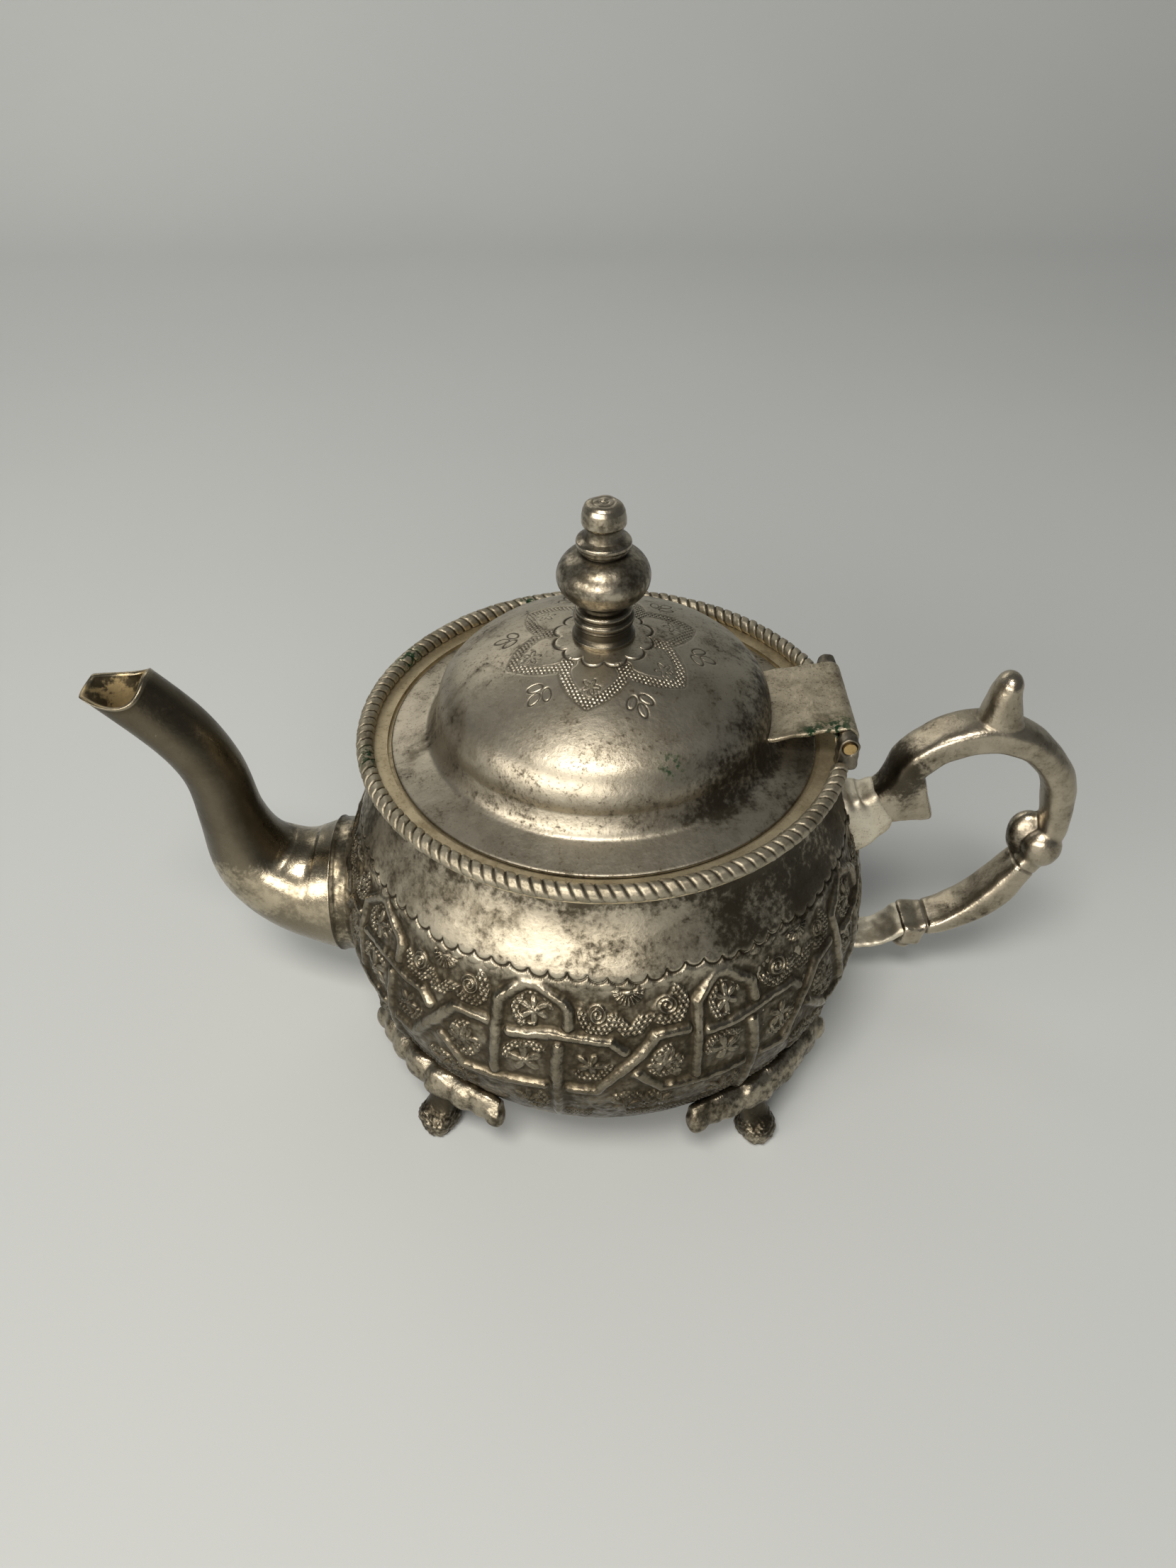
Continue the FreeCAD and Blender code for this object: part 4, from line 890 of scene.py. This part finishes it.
# stations of the bars: x, height, thickness, width, boxiness and heading in degrees
ARM = (
    (69.8, 64.6, 11.6, 10, 3.2, 24), (73.6, 68.6, 10, 10.2, 3.4, 54), (76.3, 76.3, 8.6, 11.2, 3.6, 76),
    (82, 83.8, 8.4, 11.8, 3.8, 38), (93.2, 88.1, 8.2, 12, 3.8, 6), (101.2, 87, 8.2, 11.6, 3, -20),
    (107.6, 83.2, 8.2, 11.2, 2.5, -42), (116.8, 69, 8.2, 10.4, 2.4, -80), (118.4, 57, 7.4, 10, 2.6, -90),
    (116, 48.5, 6.8, 9.4, 3, -106), (113.2, 43, 7, 10.6, 3.4, -120), (107.4, 32.6, 8.4, 11.8, 3.6, -128),
    (99.6, 25.1, 6.8, 12, 3.8, -146), (93.6, 21.6, 5, 11.8, 4.2, -160),
    (88.5, 20.2, 4.2, 11.6, 4.4, -172),
)
TONGUE = (
    (96.8, 87.5, 13, 10.5, 2.6, 90), (96.6, 92.6, 10.4, 9.6, 2.5, 92), (96.3, 98, 8, 8.8, 2.4, 91),
    (96.5, 101.4, 6.2, 8, 2.3, 88),
)
SPUR = (
    (76.5, 76, 8.4, 11.4, 4, -84), (77.6, 70, 9.4, 11, 4, -84), (78.2, 65.5, 11.6, 10.6, 4, -84),
    (78.8, 61.2, 13, 9, 3.6, -86),
)
ROOT = (
    (58, 60.2, 20.5, 14.6, 4.2, 12), (64.7, 61.2, 19, 14, 4.2, 12), (68.4, 63, 15.4, 12.2, 4, 20),
    (71.2, 65.6, 11.8, 10.8, 3.6, 26), (72.6, 66.4, 11, 10.4, 3.4, 30),
)
TAB = (
    (66, 13.8, 2, 10.4, 5, 0), (76.5, 14.6, 2, 10.8, 5, 4), (80.6, 16.6, 2.4, 11, 4.6, 40),
    (83.4, 19.6, 3, 11.4, 4, 50), (86, 20.4, 3, 11.4, 4, 0),
)


def boxed(value, box):
    """Push a sine or cosine outwards so that a round section grows boxy."""
    return np.sign(value) * np.abs(value) ** (2 / box)


def sweep(name, stations, pinch=0):
    """Bar with rounded box sections along a line in the middle plane, its sides hollowed by a share."""
    cols = 72
    line, side = smooth_way(stations, 24)
    thick, width, box = line[:, 2:3] / 2, line[:, 3:4] / 2, line[:, 4:5]
    turn = ring_steps(cols)
    across, over = boxed(np.cos(turn), box), boxed(np.sin(turn), box)
    over = over * (1 - pinch * (1 - across ** 2))
    across = thick * across
    x, z = line[:, :1] + side[:, :1] * across, line[:, 1:2] + side[:, 1:] * across
    faces = grid_faces(len(line), cols, wrap_cols=True)[:, ::-1]
    return close_ends(add_mesh(name, np.stack([x, width * over, z], -1), faces))


def blob(name, spot, radii, tilt=0, box=2):
    """Rounded lump, tilted in the middle plane by degrees."""
    rows, cols = 40, 64
    lift = np.linspace(-math.pi / 2, math.pi / 2, rows)[:, None]
    turn = ring_steps(cols)[None]
    x = radii[0] * boxed(np.cos(lift), box) * boxed(np.cos(turn), box)
    y = radii[1] * boxed(np.cos(lift), box) * boxed(np.sin(turn), box)
    z = radii[2] * boxed(np.sin(lift), box) * np.ones_like(turn)
    c, s = math.cos(math.radians(tilt)), math.sin(math.radians(tilt))
    points = np.stack([spot[0] + c * x - s * z, spot[1] + y, spot[2] + s * x + c * z], -1)
    return add_mesh(name, points, grid_faces(rows, cols, wrap_cols=True))


def fuse(name, pieces, voxel=0.3, soften=3):
    """Run overlapping lumps together as one casting."""
    item = join(name, *pieces)
    skin = item.modifiers.new("skin", "REMESH")
    skin.mode = "VOXEL"
    skin.voxel_size = voxel * MM
    skin.use_smooth_shade = True
    apply_modifiers(item)
    set_points(item, neighbour_mean(item, points_of(item), soften))
    return item


def lump_noise(seed, points, size, count=12):
    """Seeded unevenness in space of about unit size."""
    dice = np.random.default_rng(seed)
    total = np.zeros(len(points))
    for _ in range(count):
        way = dice.normal(size=3)
        way *= 2 * math.pi / size / np.linalg.norm(way)
        total += np.sin(points @ way + dice.uniform(0, 2 * math.pi))
    return total / math.sqrt(count / 2)


def roughen(item, seed, *sizes):
    """Shift points along their normals by unevenness of several sizes and depths."""
    points = points_of(item)
    push(item, sum(depth * lump_noise(seed + k, points, size) for k, (size, depth) in enumerate(sizes)))


def make_handle():
    """Cast scroll handle: arm, thumb rest, leaf spur, two-lobed knuckle, collar block and bead."""
    pieces = [
        sweep("arm", ARM, pinch=0.05),
        sweep("tongue", TONGUE),
        blob("tongue_tip", (96.6, 0, 101.6), (3.1, 4, 3.6), -6),
        sweep("spur", SPUR, pinch=0.24),
        blob("lobe_front", (116.6, -2.3, 50.4), (5.2, 4.3, 6), 12),
        blob("lobe_back", (114.2, 2.4, 50.8), (5.8, 4.3, 7.8), 10),
        blob("block", (87, 0, 18.9), (3.4, 6.4, 3.6), -6, box=6),
        blob("bead", (85.6, 0, 15), (3.4, 5.6, 2.9)),
    ]
    handle = fuse("handle_casting", pieces, soften=4)
    x, y, z = points_of(handle).T
    notch = peak(y - 0.2, 0.8) * peak(z - 45.5, 5) * peak(x - 116, 6.5)
    ring = peak(x * 0.5 + z * 0.87 - 94.6, 0.4) * (x > 106) * (z < 48)
    groove = peak(x - 91, 0.35) * (z < 30)
    push(handle, -0.5 * notch - 0.35 * ring - 0.4 * groove)
    roughen(handle, 61, (16, 0.1), (6, 0.05))
    mark_hollows(handle, 14, 0.4)
    return set_soil(handle, -0.05, ((74, 0, 76), 13, 0.5), ((112, 3, 51), 9, 0.35))


def make_socket(name, stations, voxel, soften, seed, *sizes):
    """Pale piece at one end of the handle: a flared foot on the shoulder or a thin tab below."""
    socket = fuse(name, [sweep("bar", stations)], voxel, soften)
    roughen(socket, seed, *sizes)
    return mark_hollows(socket, 12, 0.4)


# lobes of a wing from its knob to its far end: degrees, thickness, height, half length and place above
# the table
WING = (
    (19.2, 2.5, 2.9, 2.4, 15.2), (15.2, 1.6, 3, 2.6, 15.9), (10.8, 2, 3.7, 3, 16.2),
    (4.6, 2.5, 4.4, 4.2, 16.5), (-2.6, 2.2, 4.5, 4.2, 16.7), (-9, 1.8, 3.8, 3.4, 16.6),
    (-14.2, 1.7, 3.4, 2.9, 16.4), (-18.9, 2.1, 2.9, 2.4, 16.2),
)
WING_SHIFT = 2
LEG_SHIFT = -1.8
WING_OUT = 65.7
WING_LEAN = 14
LEG = ((65.2, 17, 5, 9.2, 2.6, -88), (65, 12, 4.6, 7.6, 2.6, -86), (65.6, 8, 5.2, 7.6, 2.4, -78),
       (66.8, 4, 7.6, 9.2, 2.4, -74))
# section of the strip behind a wing: radius and height
STRIP = np.array((
    (63.2, 20.6), (65, 21), (66.3, 19.4), (66.9, 15.6), (66.6, 12.6), (65.2, 12.4), (63.6, 15.4),
    (61.4, 17.2),
))
STRIP_MIDDLE = np.array([64.8, 16.8])


def make_strip():
    """Thin strip behind the wing's lobes, from the pot wall down to its free edge."""
    rows = []
    for angle in np.radians(np.linspace(-20.4, 20.4, 60)):
        fade = 1 - 0.25 * ramp(0.28, 0.355, abs(angle))
        out, up = (STRIP_MIDDLE + (STRIP - STRIP_MIDDLE) * fade).T
        rows.append(round_axis(out, angle, up))
    return close_ends(add_mesh("strip", rows, grid_faces(len(rows), len(STRIP), wrap_cols=True)))


def make_foot(hand, soil):
    """One cast foot on the positive X side: hanging lobed wing, leg and grainy paw; hand mirrors it."""
    pieces = []
    for turn, thick, high, wide, up in WING:
        lobe = blob("lobe", (WING_OUT, 0, up), (thick, wide * 1.12, high), WING_LEAN, box=2.8)
        lobe.data.transform(turned(hand * (WING_SHIFT - turn)))
        pieces.append(lobe)
    back = make_strip()
    back.data.transform(turned(hand * WING_SHIFT))
    leg = [sweep("leg", LEG), blob("paw", (67, 0, 3), (5, 4.9, 4), -12, box=2.7)]
    for turn in (-50, -17, 17, 50):
        angle = math.radians(turn)
        spot = (67.6 + 3.2 * math.cos(angle), 3.9 * math.sin(angle), 2.2)
        leg.append(blob("toe", spot, (1.9, 1.5, 2.2)))
    for piece in leg:
        piece.data.transform(turned(hand * LEG_SHIFT))
    foot = fuse("foot", [*pieces, back, *leg], soften=10)
    roughen(foot, 71, (7, 0.14), (3.2, 0.03))
    points = points_of(foot)
    grain = lump_noise(75, points, 1.7, 20) + lump_noise(76, points, 1, 20)
    push(foot, 0.07 * grain * ramp(9, 5.5, points[:, 2]))
    points = points_of(foot)
    points[:, 2] = np.maximum(points[:, 2], 0)
    set_points(foot, points)
    mark_hollows(foot, 10, 0.4)
    return set_soil(foot, soil, ((65.5, 0, 6.5), 11, 0.45))


HINGE = (56.2, 97)
EYE_HOLE = 1.62
EYE_RADIUS = 2.3
EYE_DROP = 6.5
# section of an eye: share of its length and of the way from its hole to its outside
EYE = (
    (0, 0), (0, 0.5), (0, 0.94), (0.07, 1), (0.5, 1), (0.93, 1), (1, 0.94), (1, 0.5), (1, 0), (0.5, 0),
)


def make_leaf():
    """Rough hinge plate soldered to the dome and curled round the pin."""
    curl = arc_points(HINGE, 2.45, 90, -190, 60)
    plate = along([(37.2, 96), (44, 97.5), (50, 98.6), (56.1, 99.45)], 60)
    middle = np.concatenate([plate, curl])
    count = len(middle)
    half = np.interp(np.arange(count), (0, 8, 50, 60, count - 1), (0.62, 0.52, 0.48, 0.45, 0.38))
    reach = profile_normals(middle) * half[:, None]
    contour = np.concatenate([middle - reach, (middle + reach)[::-1]])
    cols = 84
    y = np.concatenate([[-13.5, -13.44, -13.3], np.linspace(-13.1, 13.1, cols), [13.3, 13.44, 13.5]])
    shrink = np.concatenate([[0.35, 0.18, 0.05], np.zeros(cols), [0.05, 0.18, 0.35]])
    centre = np.concatenate([middle, middle[::-1]])
    place = contour[None] + (centre - contour)[None] * shrink[:, None, None]
    points = np.stack([place[..., 0], np.repeat(y[:, None], len(contour), 1), place[..., 1]], -1)
    faces = grid_faces(len(y), len(contour), wrap_cols=True)
    leaf = close_ends(add_mesh("hinge_plate", points, faces))
    points = points_of(leaf)
    x, y = points[:, 0], points[:, 1]
    flat = x < 54
    wear = 0.05 * lump_noise(81, points * (1, 0.5, 1), 8) + 0.02 * lump_noise(82, points, 2.3, 30)
    points[:, 2] += np.where(flat, wear, wear * 0.3) - 0.08
    points[:, 1] += 0.18 * np.sin(x * 0.9) * (np.abs(y) > 13) * flat - 0.05 * np.sign(y)
    set_points(leaf, points)
    return mark_hollows(leaf, 4, 0.25)


def make_eye(name, start, end):
    """Dark rough eye on the rim with its hole for the pin."""
    cols = 72
    turn = ring_steps(cols)
    x, z = np.cos(turn), np.sin(turn)
    wide, deep = np.maximum(np.abs(x), 1e-3), np.maximum(np.abs(z), 1e-3)
    outer = np.where(z < 0, np.minimum(EYE_RADIUS / wide, EYE_DROP / deep), EYE_RADIUS)
    rows = []
    for share, reach in EYE:
        radius = EYE_HOLE + (outer - EYE_HOLE) * reach
        y = np.full(cols, start + (end - start) * share)
        rows.append(np.stack([HINGE[0] + radius * x, y, HINGE[1] + radius * z], -1))
    eye = add_mesh(name, rows, grid_faces(len(rows), cols, True, True))
    detail = eye.modifiers.new("detail", "SUBSURF")
    detail.levels = detail.render_levels = 2
    apply_modifiers(eye)
    points = points_of(eye)
    away = ramp(1.7, 2.2, np.hypot(points[:, 0] - HINGE[0], points[:, 2] - HINGE[1]))
    push(eye, away * (0.09 * lump_noise(85, points, 2.2) - 0.1))
    return mark_hollows(eye, 6, 0.3)


# Room, light and camera

# camera of the photograph: focal length and picture height in pixels, degrees and metres
FOCAL = 1600
PICTURE = 2212
SENSOR = 36
PITCH = 41.01
ROLL = -0.49
CAMERA_SPOT = (-0.00383, -0.2182, 0.2616)


def make_floor():
    """Pale even floor that curves up into a backdrop."""
    n = Nodes(bpy.data.materials.new("pale_floor"))
    tint = n.mix(n.noise(3, 3), (0.5, 0.525, 0.525), (0.56, 0.58, 0.575))
    n.finish(tint, 0.55, 0, n.bump(n.noise(900), 0.05, 0.0002))
    cove = arc_points((700, 400), 400, -90, 0, 24)
    way = np.concatenate([[(-1500, 0)], cove, [(1100, 1600)]])
    rows = [np.stack([np.full(len(way), x), way[:, 0], way[:, 1]], 1) for x in (-2500, 2500)]
    floor = add_mesh("floor", rows, grid_faces(2, len(way)))
    floor.data.materials.append(n.owner)


def add_light(name, spot, aim, size, power):
    """Soft rectangular lamp in metres and watts."""
    data = bpy.data.lights.new(name, "AREA")
    data.shape = "RECTANGLE"
    data.size, data.size_y = size
    data.energy = power
    data.color = (1, 0.95, 0.88)
    lamp = link(bpy.data.objects.new(name, data))
    lamp.location = spot
    lamp.rotation_euler = (Vector(aim) - Vector(spot)).to_track_quat("-Z", "Y").to_euler()


def make_room():
    """Floor, lamps, even surroundings and the camera of the photograph."""
    make_floor()
    add_light("key", (-0.15, -0.45, 1.05), (0, 0, 0.05), (0.5, 0.3), 8)
    add_light("window", (-0.7, -1.15, 0.58), (0, 0, 0.05), (2, 0.5), 21)
    add_light("back", (-0.3, 1.1, 0.7), (0, 0, 0.08), (1.2, 0.5), 3)
    n = Nodes(bpy.data.worlds.new("surroundings"))
    scene.world = n.owner
    around = n.tree.nodes["Background"]
    n.put(around.inputs["Color"], (0.8, 0.84, 0.88, 1))
    n.put(around.inputs["Strength"], 0.14)
    seen = n.add("Background", Color=(0.6, 0.61, 0.6, 1))
    rays = n.add("LightPath").outputs["Is Camera Ray"]
    choice = n.add("MixShader", rays, around.outputs["Background"], seen.outputs["Background"])
    n.put(n.tree.nodes["World Output"].inputs["Surface"], choice.outputs["Shader"])
    data = bpy.data.cameras.new("camera")
    data.sensor_width = SENSOR
    data.lens = FOCAL * SENSOR / PICTURE
    camera = link(bpy.data.objects.new("camera", data))
    camera.matrix_world = Matrix.Translation(CAMERA_SPOT) @ turned(90 - PITCH, "X") @ turned(ROLL)
    scene.camera = camera


def dress(piece, material, *nodes, body="pot", slot="silver_plate"):
    """Give a piece its material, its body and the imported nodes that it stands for."""
    piece.data.materials.clear()
    piece.data.materials.append(material)
    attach(piece, body)
    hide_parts(*nodes)


def paint(material, *nodes):
    """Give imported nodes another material."""
    for name in nodes:
        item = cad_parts[name]
        if not item.material_slots:
            item.data.materials.append(material)
        for spot in item.material_slots:
            spot.material = material


# the feet: place round the pot in degrees, mirroring and base share of darkening by soil and shade
FEET = {
    "back_right": (48.1, -1, 0.22),
    "back_left": (127.1, 1, 0.12),
    "front_left": (228.1, -1, 0.12),
    "front_right": (307.1, 1, 0.22),
}


def make_feet(material):
    """Four feet, each pair mirrored, all turned a little the same way."""
    for name, (turn, hand, soil) in FEET.items():
        foot = make_foot(hand, soil)
        foot.name = "foot_" + name + "_casting"
        foot.data.transform(turned(turn))
        dress(foot, material, "foot_" + name)


def make_looks():
    """All pieces with their materials."""
    chased = metal("silver_chased", BRIGHT, patch=0.6, hollow=0.95, gloss=0.31, soil=0.9, crest_highlight=0.2)
    plain = metal("silver_plain", (0.45, 0.4, 0.31), patch=0.6, hollow=0.8, gloss=0.24, soil=0.8, seed=2)
    rope = metal(
        "silver_rope", (0.47, 0.42, 0.32), hollow=0.85, gloss=0.42, seed=1,
        green=(((-54, -14, 93), 7), ((-50, 26, 93), 8), ((-20, 53, 93), 6)))
    tube = metal(
        "silver_spout", (0.46, 0.4, 0.29), (0.3, 0.255, 0.17), patch=0.6, hollow=0.7, gloss=0.25,
        soil=0.85, gilt=(0.5, 0.385, 0.2), seed=2.5)
    lid = metal(
        "silver_lid", (0.47, 0.425, 0.335), (0.36, 0.32, 0.245), patch=0.45, hollow=0.8, gloss=0.33,
        speckle=0.7, soil=0.9, seed=4, green=(((14, -33, 105), 5),))
    cast = metal(
        "silver_cast", (0.49, 0.43, 0.33), (0.32, 0.275, 0.2), patch=0.45, hollow=0.7, gloss=0.26,
        grain=0.4, speckle=0.3, soil=0.85, seed=6)
    feet = metal(
        "silver_feet", (0.42, 0.37, 0.28), (0.26, 0.225, 0.16), patch=0.6, hollow=0.9, gloss=0.26,
        grain=0.6, soil=0.9, seed=7)
    leaf = metal(
        "silver_leaf", (0.6, 0.53, 0.4), (0.42, 0.36, 0.26), patch=0.8, hollow=0.6, gloss=0.42,
        grain=0.9, speckle=0.8, seed=11, green=(((54, -12.5, 99), 8), ((48, -13.5, 98), 6)))
    dark = metal(
        "silver_dark", (0.22, 0.195, 0.15), (0.12, 0.105, 0.08), (0.05, 0.04, 0.03), gloss=0.35, seed=12)
    rim = metal(
        "rim_ledge", (0.64, 0.55, 0.37), (0.46, 0.38, 0.24), (0.16, 0.125, 0.07), gloss=0.45, seed=8)
    solder = metal(
        "pale_solder", (0.8, 0.74, 0.6), (0.64, 0.57, 0.44), (0.26, 0.21, 0.14), gloss=0.38, seed=9)
    brass = metal("brass", (0.62, 0.44, 0.2), (0.42, 0.29, 0.13), (0.12, 0.08, 0.04), gloss=0.35, seed=3)
    steel = metal("steel", (0.42, 0.41, 0.4), (0.28, 0.27, 0.26), (0.08, 0.06, 0.05), gloss=0.4, seed=5)

    dress(make_pot(), chased, "body_bowl", "body_base")
    dress(make_rope(), rope, "rope_border")
    dress(make_spout(), tube, "spout")
    dress(make_spout_ring(), tube, "spout_base_ring")
    dress(make_lid(), lid, "lid_dome", body="lid")
    dress(make_finial(), plain, "finial_knob", body="lid")
    paint(rim, "rim_collar", "lid_bezel")
    dress(make_handle(), cast, "handle")
    root = make_socket("handle_root", ROOT, 0.35, 14, 66, (9, 0.14), (3.5, 0.03))
    dress(root, solder, "handle_upper_socket", slot="pale_solder")
    tab = make_socket("handle_tab", TAB, 0.3, 2, 67, (8, 0.08), (3, 0.04))
    dress(tab, solder, "handle_lower_socket", slot="pale_solder")
    dress(make_leaf(), leaf, "hinge_leaf", body="lid")
    dress(make_eye("eye_front", -17.3, -13.8), dark, "hinge_knuckle_front")
    dress(make_eye("eye_back", 13.8, 17.3), dark, "hinge_knuckle_back")
    make_feet(feet)
    paint(brass, "hinge_pin")
    paint(steel, "finial_stud", "finial_washer", "finial_nut")


make_room()
make_looks()
